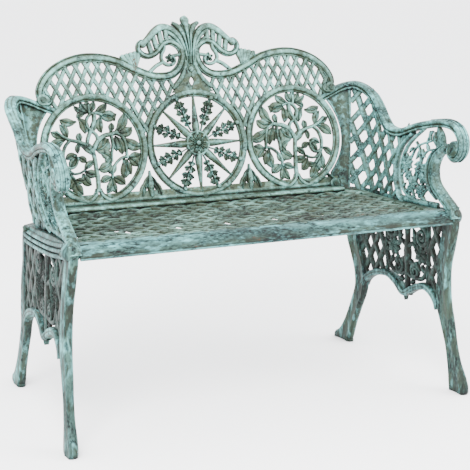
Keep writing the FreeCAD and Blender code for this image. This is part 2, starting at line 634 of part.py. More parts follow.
# ---------------------------------------------------------------- bolts, washers and nuts
def fastener_set(name, placement, grip):
    """A bolt from its head's seat, and the washer and nut on its far end.

    placement puts the head's seat at its origin and the shank along its +Z; grip is what it clamps.
    """
    made = []
    head = primitive("Part::Prism", name + "_head",
                     {"Circumradius": "Sizes.head_size / 2", "Height": "Sizes.head_height"},
                     placement.multiply(Placement(Vector(0, 0, -size("head_height")), Rotation())))
    head.Polygon = 6
    shank = primitive("Part::Cylinder", name + "_shank",
                      {"Radius": "Sizes.bolt_size / 2",
                       "Height": f"{grip} + Sizes.washer_height + Sizes.nut_height + 3"}, placement)
    bolt = combined("Part::Fuse", name + "_bolt", head, shank)
    made.append(bolt)
    far = placement.multiply(Placement(Vector(0, 0, grip), Rotation()))
    disc = primitive("Part::Cylinder", name + "_washer_disc",
                     {"Radius": "Sizes.washer_size / 2", "Height": "Sizes.washer_height"}, far)
    eye = primitive("Part::Cylinder", name + "_washer_eye",
                    {"Radius": "Sizes.bolt_size / 2 + Sizes.bolt_clearance", "Height": "Sizes.washer_height"},
                    far)
    made.append(combined("Part::Cut", name + "_washer", disc, eye))
    seat_of_nut = placement.multiply(Placement(Vector(0, 0, grip + size("washer_height")), Rotation()))
    blank = primitive("Part::Prism", name + "_nut_blank",
                      {"Circumradius": "Sizes.head_size / 2", "Height": "Sizes.nut_height"}, seat_of_nut)
    blank.Polygon = 6
    thread = primitive("Part::Cylinder", name + "_nut_thread",
                       {"Radius": "Sizes.bolt_size / 2", "Height": "Sizes.nut_height"}, seat_of_nut)
    made.append(combined("Part::Cut", name + "_nut", blank, thread))
    for piece in made:
        piece.Label = piece.Name
    return made


fasteners = []
behind = Rotation(Vector(1, 0, 0), 180)
for hand, sign in (("left", 1), ("right", -1)):
    for name, (u, v) in (("back_upper", upper_bolt), ("back_lower", lower_bolt)):
        place = in_panel(sign * u, v, back_front).multiply(Placement(Vector(0, 0, 0), behind))
        fasteners += fastener_set(f"{hand}_{name}", place, back_front + flange_rear)
    for name, inner, outer, y, z in seat_bolt_places:
        inside = seat_half_width(y) - plate - BOSS_DEEP
        towards_middle = Rotation(Vector(0, 0, 1), Vector(-sign, 0, 0))
        place = Placement(Vector(sign * outer, y, z), towards_middle)
        fasteners += fastener_set(f"{hand}_seat_{name}", place, outer - inside)
centre_place = Placement(Vector(0, centre_bolt_y, seat_rear_top + LEDGE_HEIGHT), behind)
fasteners += fastener_set("centre", centre_place, LEDGE_HEIGHT + 12)

# ---------------------------------------------------------------- checks and output
doc.recompute()
for item in doc.Objects:
    if {"Invalid", "Error"} & set(item.State):
        raise RuntimeError(f"{item.Label} did not compute: {item.State}")
nodes = [back, seat, left_end, right_end] + fasteners
os.makedirs("parts", exist_ok=True)
for node in nodes:
    if node.Shape.isNull() or not node.Shape.isValid():
        raise RuntimeError(f"{node.Label} has no valid shape")
for node in nodes:
    node.Shape.exportStep(f"parts/{node.Label}.step")
    box = node.Shape.BoundBox
    print(f"{node.Label:28s} solids {len(node.Shape.Solids)}  volume {node.Shape.Volume / 1000:9.1f} cm3"
          f"  x {box.XMin:7.1f} {box.XMax:7.1f}  y {box.YMin:7.1f} {box.YMax:7.1f}"
          f"  z {box.ZMin:7.1f} {box.ZMax:7.1f}")
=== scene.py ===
import math

import bpy
import numpy as np
from mathutils import Matrix, Vector


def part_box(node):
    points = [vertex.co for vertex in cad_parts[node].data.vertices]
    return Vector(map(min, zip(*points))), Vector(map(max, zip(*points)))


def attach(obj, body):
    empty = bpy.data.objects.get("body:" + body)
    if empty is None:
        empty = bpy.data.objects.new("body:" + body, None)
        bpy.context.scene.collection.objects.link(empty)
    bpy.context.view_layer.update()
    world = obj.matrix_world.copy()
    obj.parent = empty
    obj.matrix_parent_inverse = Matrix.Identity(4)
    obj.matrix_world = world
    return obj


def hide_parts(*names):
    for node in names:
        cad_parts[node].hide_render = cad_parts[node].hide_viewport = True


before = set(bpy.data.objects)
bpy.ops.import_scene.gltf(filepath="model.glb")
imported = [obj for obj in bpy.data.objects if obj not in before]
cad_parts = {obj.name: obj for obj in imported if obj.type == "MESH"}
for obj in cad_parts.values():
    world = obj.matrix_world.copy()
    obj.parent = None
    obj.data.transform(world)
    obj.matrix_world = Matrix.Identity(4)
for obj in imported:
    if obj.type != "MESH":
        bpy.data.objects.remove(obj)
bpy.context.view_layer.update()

# ---------------------------------------------------------------------------------------------
# Back casting, medallion rings.  The back is one flat grey-iron casting, poured in a sand mould,
# and its three round frames are moulded bands.  The outer two are drawn in at the foot like a heart.
# ---------------------------------------------------------------------------------------------
MM = 0.001
RAKE = math.radians(13.5)
RING_MIDDLE = 130.0             # middle line of the moulded band
RING_PITCH = 277.4
RING_FOOT = 144.5               # ring centre above the seat, up the raked panel
LEDGE_REACH = 34.0
PLATE_BACK = -5.0               # flat back of the casting behind the panel's middle surface
back_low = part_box("back_casting")[0]
panel_y = back_low.y / MM + LEDGE_REACH + RING_FOOT * math.sin(RAKE)
panel_z = back_low.z / MM + RING_FOOT * math.cos(RAKE)
CREST_FROM, CREST_RISE, CREST_CURL = 205.0, 130.0, 15.0


def on_panel(u, v, w):
    """Raked panel: x = u, v runs up the lean and w square to it; the crest curls back as v squared."""
    w = w - CREST_CURL * np.clip((v - CREST_FROM) / CREST_RISE, 0, 1) ** 2
    y = panel_y + v * math.sin(RAKE) - w * math.cos(RAKE)
    z = panel_z + v * math.cos(RAKE) + w * math.sin(RAKE)
    return np.column_stack([u, y, z])


def smooth(points, step=4.0):
    """A smooth line through given points: a Catmull-Rom cubic in each span, cut into even steps."""
    p = np.asarray(points, float)
    row = np.vstack([2 * p[0] - p[1], p, 2 * p[-1] - p[-2]])
    a, b, c, d = row[:-3], row[1:-2], row[2:-1], row[3:]
    t = np.linspace(0, 1, 16, endpoint=False)[:, None, None]
    cubic = 0.5 * (2 * b + (c - a) * t + (2 * a - 5 * b + 4 * c - d) * t ** 2
                   + (3 * b - a - 3 * c + d) * t ** 3)
    line = np.vstack([cubic.transpose(1, 0, 2).reshape(-1, 2), p[-1:]])
    gone = np.r_[0, np.cumsum(np.hypot(*np.diff(line, axis=0).T))]
    even = np.linspace(0, gone[-1], max(int(round(gone[-1] / step)), 3) + 1)
    return np.column_stack([np.interp(even, gone, line[:, 0]), np.interp(even, gone, line[:, 1])])


def spread(knots, count):
    """Values at even steps along a rod, straight between given knots of (part of the length, value)."""
    where, value = np.array(knots, float).T
    return np.interp(np.linspace(0, 1, count), where, value)


def between(plus, minus, template, base=PLATE_BACK, tall=12.0, closed=False):
    """A bar between two edge lines.

    Point (i, j) lies at the edges' middle plus across[j] times half their gap, and stands
    base[i] + out[j] * tall[i] off the sheet.  plus is the edge to the left of travel.
    """
    plus, minus = np.asarray(plus, float), np.asarray(minus, float)
    n, m = len(plus), len(template)
    base = np.broadcast_to(np.asarray(base, float), (n,))
    tall = np.broadcast_to(np.asarray(tall, float), (n,))
    middle, half = (plus + minus) / 2, (plus - minus) / 2
    across, out, crown = template.T
    sheet = middle[:, None, :] + across[None, :, None] * half[:, None, :]
    height = base[:, None] + out[None, :] * tall[:, None]
    points = np.concatenate([sheet, height[..., None]], axis=2).reshape(-1, 3)
    crowns = np.tile(crown, n)
    i = np.arange(n if closed else n - 1)[:, None]
    j = np.arange(m)[None, :]
    i_next, j_next = (i + 1) % n, (j + 1) % m
    quads = np.stack([i * m + j, i * m + j_next, i_next * m + j_next, i_next * m + j], -1).reshape(-1, 4)
    if closed:
        return points, crowns, quads, np.zeros((0, 3), int)
    caps = np.vstack([points[:m].mean(0), points[-m:].mean(0)])
    j, j_next = np.arange(m), (np.arange(m) + 1) % m
    first = np.column_stack([np.full(m, n * m), j_next, j])
    last = np.column_stack([np.full(m, n * m + 1), (n - 1) * m + j, (n - 1) * m + j_next])
    return np.vstack([points, caps]), np.r_[crowns, 0.5, 0.5], quads, np.vstack([first, last])


def carry(path, template, wide, base=PLATE_BACK, tall=12.0, closed=False):
    """A template carried along a flat path: the edges lie wide[i] to the left and right of path[i]."""
    path = np.asarray(path, float)
    if closed:
        ahead = np.roll(path, -1, 0) - np.roll(path, 1, 0)
    else:
        ahead = np.gradient(path, axis=0)
    ahead = ahead / np.maximum(np.hypot(*ahead.T), 1e-9)[:, None]
    left = np.column_stack([-ahead[:, 1], ahead[:, 0]]) * np.broadcast_to(wide, (len(path),))[:, None]
    return between(path + left, path - left, template, base, tall, closed)


def shifted(part, u, v):
    """The same bar moved in the sheet."""
    return part[0] + np.array([u, v, 0.0]), part[1], part[2], part[3]


def mirrored(parts):
    """The same bars on the other side of the bench's middle, with their faces turned back outwards."""
    return [(p * np.array([-1.0, 1.0, 1.0]), c, q[:, ::-1], t[:, ::-1]) for p, c, q, t in parts]


def cast(name, parts, place, flip=False):
    """One mesh of many bars, set in place in the bench, smooth but for its arrises."""
    sizes = np.cumsum([0] + [len(p[0]) for p in parts])
    points = np.vstack([p[0] for p in parts])
    crowns = np.concatenate([p[1] for p in parts])
    quads = np.vstack([p[2] + start for p, start in zip(parts, sizes)])
    tris = np.vstack([p[3] + start for p, start in zip(parts, sizes)])
    world = place(points[:, 0], points[:, 1], points[:, 2]) * MM
    if flip:
        world = world * np.array([-1.0, 1.0, 1.0])
        quads, tris = quads[:, ::-1], tris[:, ::-1]
    mesh = bpy.data.meshes.new(name)
    mesh.vertices.add(len(world))
    mesh.vertices.foreach_set("co", world.ravel())
    corners = np.concatenate([quads.ravel(), tris.ravel()])
    counts = np.concatenate([np.full(len(quads), 4), np.full(len(tris), 3)])
    mesh.loops.add(len(corners))
    mesh.loops.foreach_set("vertex_index", corners.astype(np.int32))
    mesh.polygons.add(len(counts))
    mesh.polygons.foreach_set("loop_start", np.r_[0, np.cumsum(counts)[:-1]].astype(np.int32))
    mesh.update(calc_edges=True)
    # crown: how high each point stands on its bar's template; the paints use it to place painted highlight
    # on crests and painted shade in grooves.
    mesh.attributes.new("crown", "FLOAT", "POINT").data.foreach_set("value", crowns.astype(np.float32))
    mesh.shade_smooth()
    mesh.set_sharp_from_angle(angle=math.radians(48))
    piece = bpy.data.objects.new(name, mesh)
    bpy.context.scene.collection.objects.link(piece)
    return piece


def verdigris(name, patina_and_highlight, grime_and_shade, worn, worn_from=0.60, stretch=(1.0, 1.0, 1.0), shade_strength=1.0):
    """Old paint on iron: mottled verdigris, painted grey-green shade in the hollows, rubbed to dark iron in
    patches.

    The first paint set holds four paints from dull to bright: broad noise mixes the first two, a mottle
    brings in the third, and the fourth is a painted highlight on the crown of a bar plus pale patches
    where a finer noise rises.  Of the second set, the first paint lies in patches of grime and, as
    painted shade, where the crown is low; the second is painted shade, times the shade strength, where
    neighbours shelter the face.  Worn iron shows where the mottle passes worn_from, and in specks; rust is
    a rarer noise.
    stretch scales the noise along x, y and z, so a number below 1 draws it out.
    """
    material = bpy.data.materials.new(name)
    material.use_nodes = True
    nodes, links = material.node_tree.nodes, material.node_tree.links
    shader = nodes["Principled BSDF"]
    shader.inputs["Specular IOR Level"].default_value = 0.12
    shader.inputs["Metallic"].default_value = 0.0
    where = nodes.new("ShaderNodeTexCoord").outputs["Object"]
    drawn_out = nodes.new("ShaderNodeMapping")
    drawn_out.inputs["Scale"].default_value = stretch
    links.new(where, drawn_out.inputs["Vector"])
    where = drawn_out.outputs["Vector"]

    def noise(scale, detail, rough):
        cloud = nodes.new("ShaderNodeTexNoise")
        cloud.inputs["Scale"].default_value = scale
        cloud.inputs["Detail"].default_value = detail
        cloud.inputs["Roughness"].default_value = rough
        links.new(where, cloud.inputs["Vector"])
        return cloud.outputs["Fac"]

    def ranged(value, low, high, to_low=0.0, to_high=1.0):
        scale = nodes.new("ShaderNodeMapRange")
        scale.interpolation_type = "SMOOTHSTEP"
        names = ("From Min", "From Max", "To Min", "To Max")
        for socket, number in zip(names, (low, high, to_low, to_high)):
            scale.inputs[socket].default_value = number
        links.new(value, scale.inputs["Value"])
        return scale.outputs["Result"]

    def sums(operation, one, other):
        maths = nodes.new("ShaderNodeMath")
        maths.operation = operation
        maths.use_clamp = True
        for socket, value in zip(maths.inputs, (one, other)):
            if isinstance(value, float):
                socket.default_value = value
            else:
                links.new(value, socket)
        return maths.outputs[0]

    def mixed(amount, one, other):
        mix = nodes.new("ShaderNodeMix")
        mix.data_type = "RGBA"
        links.new(amount, mix.inputs[0])
        for socket, value in zip((mix.inputs[6], mix.inputs[7]), (one, other)):
            if isinstance(value, tuple):
                socket.default_value = (*value, 1.0)
            else:
                links.new(value, socket)
        return mix.outputs[2]

    broad, mottle, fine = noise(7.0, 4.0, 0.55), noise(34.0, 8.0, 0.62), noise(210.0, 5.0, 0.6)
    crown = nodes.new("ShaderNodeAttribute")
    crown.attribute_name = "crown"
    crown = crown.outputs["Fac"]
    # Painted shade: an ambient occlusion test, 26 mm deep, marks faces hidden by neighbouring bars.
    shelter = nodes.new("ShaderNodeAmbientOcclusion")
    shelter.samples = 8
    shelter.inputs["Distance"].default_value = 0.026
    shelter = ranged(shelter.outputs["AO"], 0.30, 0.95, 1.0, 0.0)

    colour = mixed(ranged(broad, 0.36, 0.64), patina_and_highlight[0], patina_and_highlight[1])
    colour = mixed(ranged(mottle, 0.46, 0.57), colour, patina_and_highlight[2])
    # Painted highlight on the crests of the bars, plus pale verdigris patches where a finer noise rises.
    bright = sums("ADD", sums("MULTIPLY", ranged(crown, 0.55, 1.0), 0.45),
                  sums("MULTIPLY", ranged(noise(58.0, 6.0, 0.6), 0.50, 0.62), 0.50))
    colour = mixed(bright, colour, patina_and_highlight[3])
    grime = sums("MULTIPLY", ranged(noise(17.0, 9.0, 0.68), 0.42, 0.56, 0.85, 0.0),
                 ranged(fine, 0.34, 0.60, 0.55, 1.0))
    colour = mixed(grime, colour, grime_and_shade[0])
    # Painted shade: the grime paint again where the crown is low, in the grooves and down the sides of each
    # bar, broken up by the mottle.
    hollow = sums("MULTIPLY", ranged(crown, 0.0, 0.5, 0.75, 0.0), ranged(mottle, 0.34, 0.58, 0.55, 1.0))
    colour = mixed(hollow, colour, grime_and_shade[0])
    # Painted shade: near-black paint on faces hidden by neighbours, scaled by the shade strength and broken
    # up by the mottle.
    occlusion_shade = sums("MULTIPLY", shelter, ranged(mottle, 0.30, 0.62, 0.70 * shade_strength, shade_strength))
    colour = mixed(occlusion_shade, colour, grime_and_shade[1])
    rubbed = ranged(sums("ADD", mottle, sums("MULTIPLY", ranged(broad, 0.40, 0.66), 0.12)),
                    worn_from, worn_from + 0.13)
    frayed = ranged(fine, 0.30, 0.62, 0.45, 1.0)
    colour = mixed(sums("MULTIPLY", rubbed, frayed), colour, worn)
    specks = ranged(noise(150.0, 3.0, 0.5), 0.62, 0.70, 0.0, 0.75)
    colour = mixed(specks, colour, worn)
    rust = sums("MULTIPLY", ranged(noise(15.0, 6.0, 0.6), 0.66, 0.73), ranged(fine, 0.42, 0.58))
    colour = mixed(rust, colour, (0.055, 0.026, 0.014))
    links.new(colour, shader.inputs["Base Color"])
    links.new(ranged(sums("ADD", sums("MULTIPLY", mottle, 0.6), sums("MULTIPLY", fine, 0.4)),
                     0.35, 0.65, 0.40, 0.66), shader.inputs["Roughness"])
    relief = sums("ADD", sums("MULTIPLY", fine, 0.45), sums("MULTIPLY", mottle, 0.55))
    bump = nodes.new("ShaderNodeBump")
    bump.inputs["Strength"].default_value = 0.55
    bump.inputs["Distance"].default_value = 0.0011
    links.new(relief, bump.inputs["Height"])
    links.new(bump.outputs["Normal"], shader.inputs["Normal"])
    return material


# Each paint set: four verdigris paints from dull to bright, the brightest also the painted highlight on
# crests; then a grime paint that also serves as painted shade in grooves, and a near-black painted shade
# for faces hidden by neighbours.
back_paint = verdigris("verdigris_back",
                       ((0.032, 0.042, 0.026), (0.052, 0.074, 0.046),
                        (0.076, 0.135, 0.1), (0.15, 0.36, 0.33)),
                       ((0.018, 0.024, 0.013), (0.003, 0.004, 0.003)),
                       worn=(0.008, 0.009, 0.007), worn_from=0.58, shade_strength=0.9)


def fitted(piece, paint, node):
    """A finished bar of ironwork: painted, tied to the bench's one body, standing for its casting."""
    piece.data.materials.append(paint)
    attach(piece, "root")
    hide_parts(node)
    return piece


# Templates are (across, out, crown) from the left edge over the top to the right edge.
BAND = np.array([(1, 0, 0), (1, .42, .1), (.93, .60, .5), (.76, .68, .8), (.60, .60, .3), (.50, .52, 0),
                 (.38, .66, .3), (.15, .88, .9), (-.2, .98, 1), (-.52, .96, 1), (-.78, .82, .7),
                 (-.94, .56, .2), (-1, .36, 0), (-1, 0, 0)], float)
HALF_ROUND = np.array([(1, 0, 0), (1, .40, .1), (.88, .66, .5), (.60, .88, .8), (.22, .99, 1),
                       (-.22, .99, 1), (-.60, .88, .8), (-.88, .66, .5), (-1, .40, .1), (-1, 0, 0)], float)


def circle(radius, step=5.0):
    """Points round a circle, counter-clockwise, with no point twice."""
    turn = np.linspace(0, 2 * math.pi, int(2 * math.pi * radius / step), endpoint=False)
    return np.column_stack([radius * np.cos(turn), radius * np.sin(turn)])


heart_turn = np.radians(np.linspace(-72, 252, 130))
heart_ring = np.column_stack([RING_MIDDLE * np.cos(heart_turn), RING_MIDDLE * np.sin(heart_turn)])
heart_lobe = smooth([tuple(heart_ring[-1]), (-30, -127), (-18, -121), (-8, -111), (-4, -98)], 4)
heart_lobe_other = heart_lobe[::-1] * np.array([-1.0, 1.0])
heart = np.vstack([heart_lobe_other[:-1], heart_ring, heart_lobe[1:]])
heart_wide = spread([(0, 4), (.03, 6), (.08, 10), (.92, 10), (.97, 6), (1, 4)], len(heart))
rings = [carry(circle(RING_MIDDLE), BAND, 10.0, tall=12.0, closed=True)]
side_ring = shifted(carry(heart, BAND, heart_wide, tall=12.0), RING_PITCH, 0)
rings += [side_ring] + mirrored([side_ring])
fitted(cast("back_medallion_rings", rings, on_panel), back_paint, "back_casting")

# ---------------------------------------------------------------------------------------------
# Back casting, star.  Eight ridged rays run from a rosette boss to the middle ring, with a leafy
# spray between each pair.  All are cast in one with the ring, so each foot laps into it.
# ---------------------------------------------------------------------------------------------
RAY_COUNT = 8
RIDGE = np.array([(1, 0, 0), (1, .30, 0), (.9, .42, .1), (.5, .66, .35), (.12, .95, 1), (0, 1, 1),
                  (-.12, .95, 1), (-.5, .66, .35), (-.9, .42, .1), (-1, .30, 0), (-1, 0, 0)], float)
BLADE = np.array([(1, 0, 0), (1, .34, .1), (.80, .62, .6), (.45, .70, .7), (.16, .62, .3), (0, .98, 1),
                  (-.16, .62, .3), (-.45, .70, .7), (-.80, .62, .6), (-1, .34, .1), (-1, 0, 0)], float)


def turned(radii, heights, crowns, around=20):
    """A round boss: ring i has radius radii[i] and stands heights[i] off the sheet, closed at both ends."""
    rows = len(radii)
    turn = np.linspace(0, 2 * math.pi, around, endpoint=False)
    u, v = np.outer(radii, np.cos(turn)), np.outer(radii, np.sin(turn))
    points = np.stack([u, v, np.repeat(np.asarray(heights, float)[:, None], around, 1)], -1)
    points = np.vstack([points.reshape(-1, 3), [[0, 0, heights[0]], [0, 0, heights[-1]]]])
    i, j = np.arange(rows - 1)[:, None], np.arange(around)[None, :]
    j_next = (j + 1) % around
    quads = np.stack([i * around + j, i * around + j_next, (i + 1) * around + j_next,
                      (i + 1) * around + j], -1).reshape(-1, 4)
    j, j_next = j[0], j_next[0]
    foot = np.column_stack([np.full(around, rows * around), j_next, j])
    top = np.column_stack([np.full(around, rows * around + 1), (rows - 1) * around + j,
                           (rows - 1) * around + j_next])
    return points, np.r_[np.repeat(crowns, around), 0, crowns[-1]], quads, np.vstack([foot, top])


def rotated(part, degrees):
    """The same bar turned about the sheet's origin."""
    c, s = math.cos(math.radians(degrees)), math.sin(math.radians(degrees))
    turn = np.array([[c, s, 0], [-s, c, 0], [0, 0, 1]])
    return part[0] @ turn, part[1], part[2], part[3]


def blade(foot, tip, half, bow=0.0, base=PLATE_BACK, tall=9.0, lift=2.0, steps=8, template=BLADE):
    """A pointed leaf: its mid-rib is a parabola bowed sideways, its width swells as a skewed sine."""
    foot, tip = np.array(foot, float), np.array(tip, float)
    t = np.linspace(0, 1, steps + 1)
    side = np.array([-(tip - foot)[1], (tip - foot)[0]])
    path = foot + np.outer(t, tip - foot) + np.outer(4 * t * (1 - t) * bow, side)
    least = spread([(0, .22), (.5, .2), (1, .03)], len(t))
    wide = half * np.maximum(np.sin(math.pi * t ** 1.15) ** 0.72, least)
    height = tall * spread([(0, .78), (.35, 1), (.8, .9), (1, .55)], len(t)) + lift * t ** 2
    return carry(path, template, wide, base, height)


def knob(at, radius, top, base=PLATE_BACK, around=16):
    """A half-ball on a straight neck: radius falls as a cosine while the height rises as a sine."""
    a = np.radians([0, 15, 32, 50, 68, 84])
    radii = np.r_[radius * .96, radius * np.cos(a)]
    heights = np.r_[base, (top - radius * .6) + radius * .6 * np.sin(a)]
    return shifted(turned(radii, heights, np.r_[0, .4, .5, .7, .9, 1, 1], around), *at)


rays = []
ray_r = np.linspace(22, 133, 12)
ray_path = np.column_stack([ray_r, 0 * ray_r])
ray_wide = np.interp(ray_r, [22, 40, 60, 100, 133], [8.5, 10.5, 8.6, 4.4, 1.6])
ray_tall = np.interp(ray_r, [22, 60, 110, 133], [12.0, 11.5, 10.5, 9.5])
ray = carry(ray_path, RIDGE, ray_wide, tall=ray_tall)
spray = [carry(smooth([(34, 0), (62, 2), (88, -1), (116, 0)], 5), HALF_ROUND, 1.9, tall=8.0)]
for reach, length, half in ((50, 12, 4.2), (62, 19, 5.6), (80, 21, 6.2), (98, 19, 5.4)):
    for hand in (1, -1):
        outer_tip = (reach + length * .45, hand * length * .86)
        inner_tip = (reach + length * .92, hand * length * .46)
        spray.append(blade((reach, 0), outer_tip, half, -hand * .12, tall=9.5))
        spray.append(blade((reach + 4, hand * 2), inner_tip, half * .8, hand * .10, tall=8.5))
spray.append(blade((98, 0), (124, 0), 5.6, tall=9.5))
spray.append(knob((124, 0), 5.6, 9.5, around=12))
for reach in (60, 78, 97):
    spray.append(knob((reach, 0), 4.0, 7.5, around=10))
for index in range(RAY_COUNT):
    rays.append(rotated(ray, 360 / RAY_COUNT * index))
    rays += [rotated(part, 360 / RAY_COUNT * (index + 0.5)) for part in spray]
hub_r = [33, 33, 32, 30, 28, 26, 12, 1]
hub_w = [-5, 2.5, 5.0, 6.2, 5.2, 2.6, 2.2, 2.2]
rays.append(turned(hub_r, hub_w, [0, .3, .8, 1, .6, 0, 0, 0], 48))
for index in range(10):
    rays.append(rotated(blade((7, 0), (27, 0), 4.6, base=0, tall=7.5, lift=1.5, steps=6), 36 * index))
for index in range(8):
    rays.append(rotated(blade((3, 0), (15, 0), 3.2, base=2, tall=7.5, lift=1.5, steps=5), 45 * index + 12))
rays.append(knob((0, 0), 6.0, 11.5))
fitted(cast("back_star", rays, on_panel), back_paint, "back_casting")

# ---------------------------------------------------------------------------------------------
# Back casting, foliage.  Each outer medallion holds a little tree: a stem from the heart's notch,
# a drooping bough on the outer side, a leafy bough towards the star and a tuft at the top.
# Leaves are (foot, tip, half width, sideways bow) about the medallion's centre.
# ---------------------------------------------------------------------------------------------
BOUGHS = (([(0, -104), (-1, -76), (1, -47), (2, -28), (5, -2)], 3.6, 3.0),
          ([(6, -4), (17, 11), (15, 29), (3, 53), (-5, 71), (-6, 88)], 2.6, 3.4),
          ([(6, -4), (-8, 18), (-8, 34), (4, 47), (15, 58), (15, 74), (5, 87), (-10, 91), (-26, 85)],
           2.4, 2.4),
          ([(6, -5), (22, 12), (39, 21), (62, 27), (81, 37), (96, 50)], 3.4, 2.2),
          ([(62, 26), (76, 11), (83, -12), (80, -36), (71, -55), (58, -72)], 2.6, 2.0),
          ([(79, -38), (62, -56), (44, -56), (31, -50)], 2.2, 1.8),
          ([(80, -36), (66, -43), (53, -37), (46, -19), (58, -12)], 2.2, 1.8),
          ([(6, -4), (-9, 20), (-28, 33), (-47, 36), (-62, 40)], 3.6, 3.6),
          ([(-60, 38), (-76, 26), (-82, 2), (-83, -27)], 2.6, 2.0),
          ([(-46, 34), (-48, 8), (-43, -12), (-42, -33)], 2.4, 1.8),
          ([(-82, -22), (-67, -26), (-51, -39), (-42, -54), (-39, -74)], 2.4, 1.8),
          ([(4, 86), (7, 98), (7, 112)], 2.4, 2.0))
LEAVES = (((7, 92), (10, 124), 4.6, 0), ((7, 92), (-9, 121), 5.0, .08), ((7, 92), (27, 119), 5.0, -.08),
          ((7, 92), (44, 112), 4.2, -.14), ((-6, 91), (-42, 114), 5.8, .10),
          ((-20, 89), (-66, 86), 7.6, .16), ((-25, 84), (-60, 68), 7.2, -.22),
          ((-25, 84), (-22, 40), 5.6, .12), ((-5, 80), (8, 42), 4.8, -.12),
          ((14, 90), (39, 80), 4.4, .16), ((36, 80), (21, 40), 7.0, -.16),
          ((41, 72), (84, 79), 6.2, -.12), ((69, 30), (85, 67), 5.6, .12),
          ((78, 35), (108, 50), 5.0, -.05), ((73, 29), (115, 1), 7.4, .10),
          ((33, 20), (34, 44), 4.8, -.15), ((41, 14), (6, -15), 6.6, -.20),
          ((38, 20), (44, -8), 3.8, .10), ((47, -11), (76, -21), 5.2, .12),
          ((46, -17), (65, -44), 5.2, .14), ((46, -17), (25, -32), 5.0, -.12),
          ((31, -51), (3, -28), 4.8, -.10), ((31, -51), (-1, -60), 6.4, .12),
          ((35, -57), (16, -88), 6.8, .14), ((84, -31), (110, -56), 4.8, .12),
          ((80, -42), (85, -90), 7.0, -.12), ((58, -72), (39, -110), 7.6, .14),
          ((58, -72), (73, -94), 5.4, -.10), ((58, -70), (33, -72), 4.8, .15),
          ((70, -56), (52, -84), 4.4, .1), ((-59, 43), (-86, 88), 7.2, .14),
          ((-44, 41), (-49, 65), 4.6, .10), ((-64, 39), (-103, 51), 7.4, .16),
          ((-76, 28), (-127, 0), 8.2, .14), ((-56, 31), (-71, -17), 6.8, -.10),
          ((-46, 30), (-57, -8), 5.0, -.08), ((-36, 26), (-3, -2), 10.5, -.18),
          ((-30, 30), (-20, 4), 6.0, .10), ((-42, -27), (-14, -8), 7.0, .12),
          ((-41, -31), (-5, -51), 7.6, -.12), ((-44, -20), (-26, -36), 4.6, .1),
          ((-84, -24), (-120, -17), 6.8, .10), ((-85, -26), (-111, -50), 7.2, -.12),
          ((-82, -29), (-91, -68), 7.0, .12), ((-74, -27), (-66, -78), 7.4, -.12),
          ((-51, -38), (-30, -61), 5.2, -.12), ((-39, -72), (-72, -93), 6.8, -.10),
          ((-39, -72), (-48, -112), 5.4, .10), ((-39, -72), (-21, -111), 5.8, -.10),
          ((-39, -72), (-9, -84), 5.6, .12))
LEAF_FULLNESS, BOUGH_FULLNESS = 1.8, 1.65
tree = []
for line, start, end in BOUGHS:
    path = smooth(line, 4)
    tree.append(carry(path, HALF_ROUND, BOUGH_FULLNESS * spread([(0, start), (1, end)], len(path)),
                      tall=11.0))
tree += [blade(foot, tip, half * LEAF_FULLNESS, bow, tall=10.5, lift=1.5)
         for foot, tip, half, bow in LEAVES]
tree.append(knob((-1, -66), 5.4, 6.5))
tree = [shifted(part, RING_PITCH, 0) for part in tree]
fitted(cast("back_foliage", tree + mirrored(tree), on_panel), back_paint, "back_casting")

# ---------------------------------------------------------------------------------------------
# Back casting, top rail and crest.  A reeded rail sweeps over each medallion into a C scroll, and a
# fluted palmette between the scrolls spreads to the brow, with a knob at the top and on each side.
# ---------------------------------------------------------------------------------------------
RAIL = np.array([(1, 0, 0), (1, .50, .1), (.92, .68, .6), (.78, .72, .8), (.66, .60, .1), (.58, .56, 0),
                 (.42, .82, .6), (.15, .98, 1), (-.15, .98, 1), (-.42, .84, .7), (-.60, .58, 0),
                 (-.70, .60, .2), (-.82, .70, .8), (-.94, .62, .5), (-1, .46, .1), (-1, 0, 0)], float)
FLUTE = np.array([(1, 0, 0), (1, .40, 0), (.90, .60, .3), (.62, .88, .9), (.25, 1, 1), (-.25, 1, 1),
                  (-.62, .88, .9), (-.90, .60, .3), (-1, .40, 0), (-1, 0, 0)], float)
RAIL_LINE = [(386, 138), (378, 128), (386, 118), (399, 121), (405, 136), (404, 154), (390, 178),
             (366, 200), (337, 216), (303, 226), (270, 229), (231, 225), (193, 214), (164, 199),
             (135, 186), (106, 176), (77, 174), (53, 179), (34, 193), (22, 214), (20, 236), (29, 253),
             (48, 263), (67, 259), (81, 246), (94, 234), (110, 228), (126, 231), (137, 243), (136, 257),
             (126, 266), (117, 261)]
rail_path = smooth(RAIL_LINE, 4)
rail_gone = np.r_[0, np.cumsum(np.hypot(*np.diff(rail_path, axis=0).T))]
rail_gone /= rail_gone[-1]
rail_wide = np.interp(rail_gone, [0, .04, .10, .16, .60, .68, .80, .92, 1],
                      [3, 6.5, 10, 11.5, 11.5, 10, 8.5, 7.5, 5])
crest = [carry(rail_path, RAIL, rail_wide, tall=14.0)]
crest.append(knob((387, 128), 10.0, 8.0))
crest.append(knob((125, 258), 9.5, 9.5))

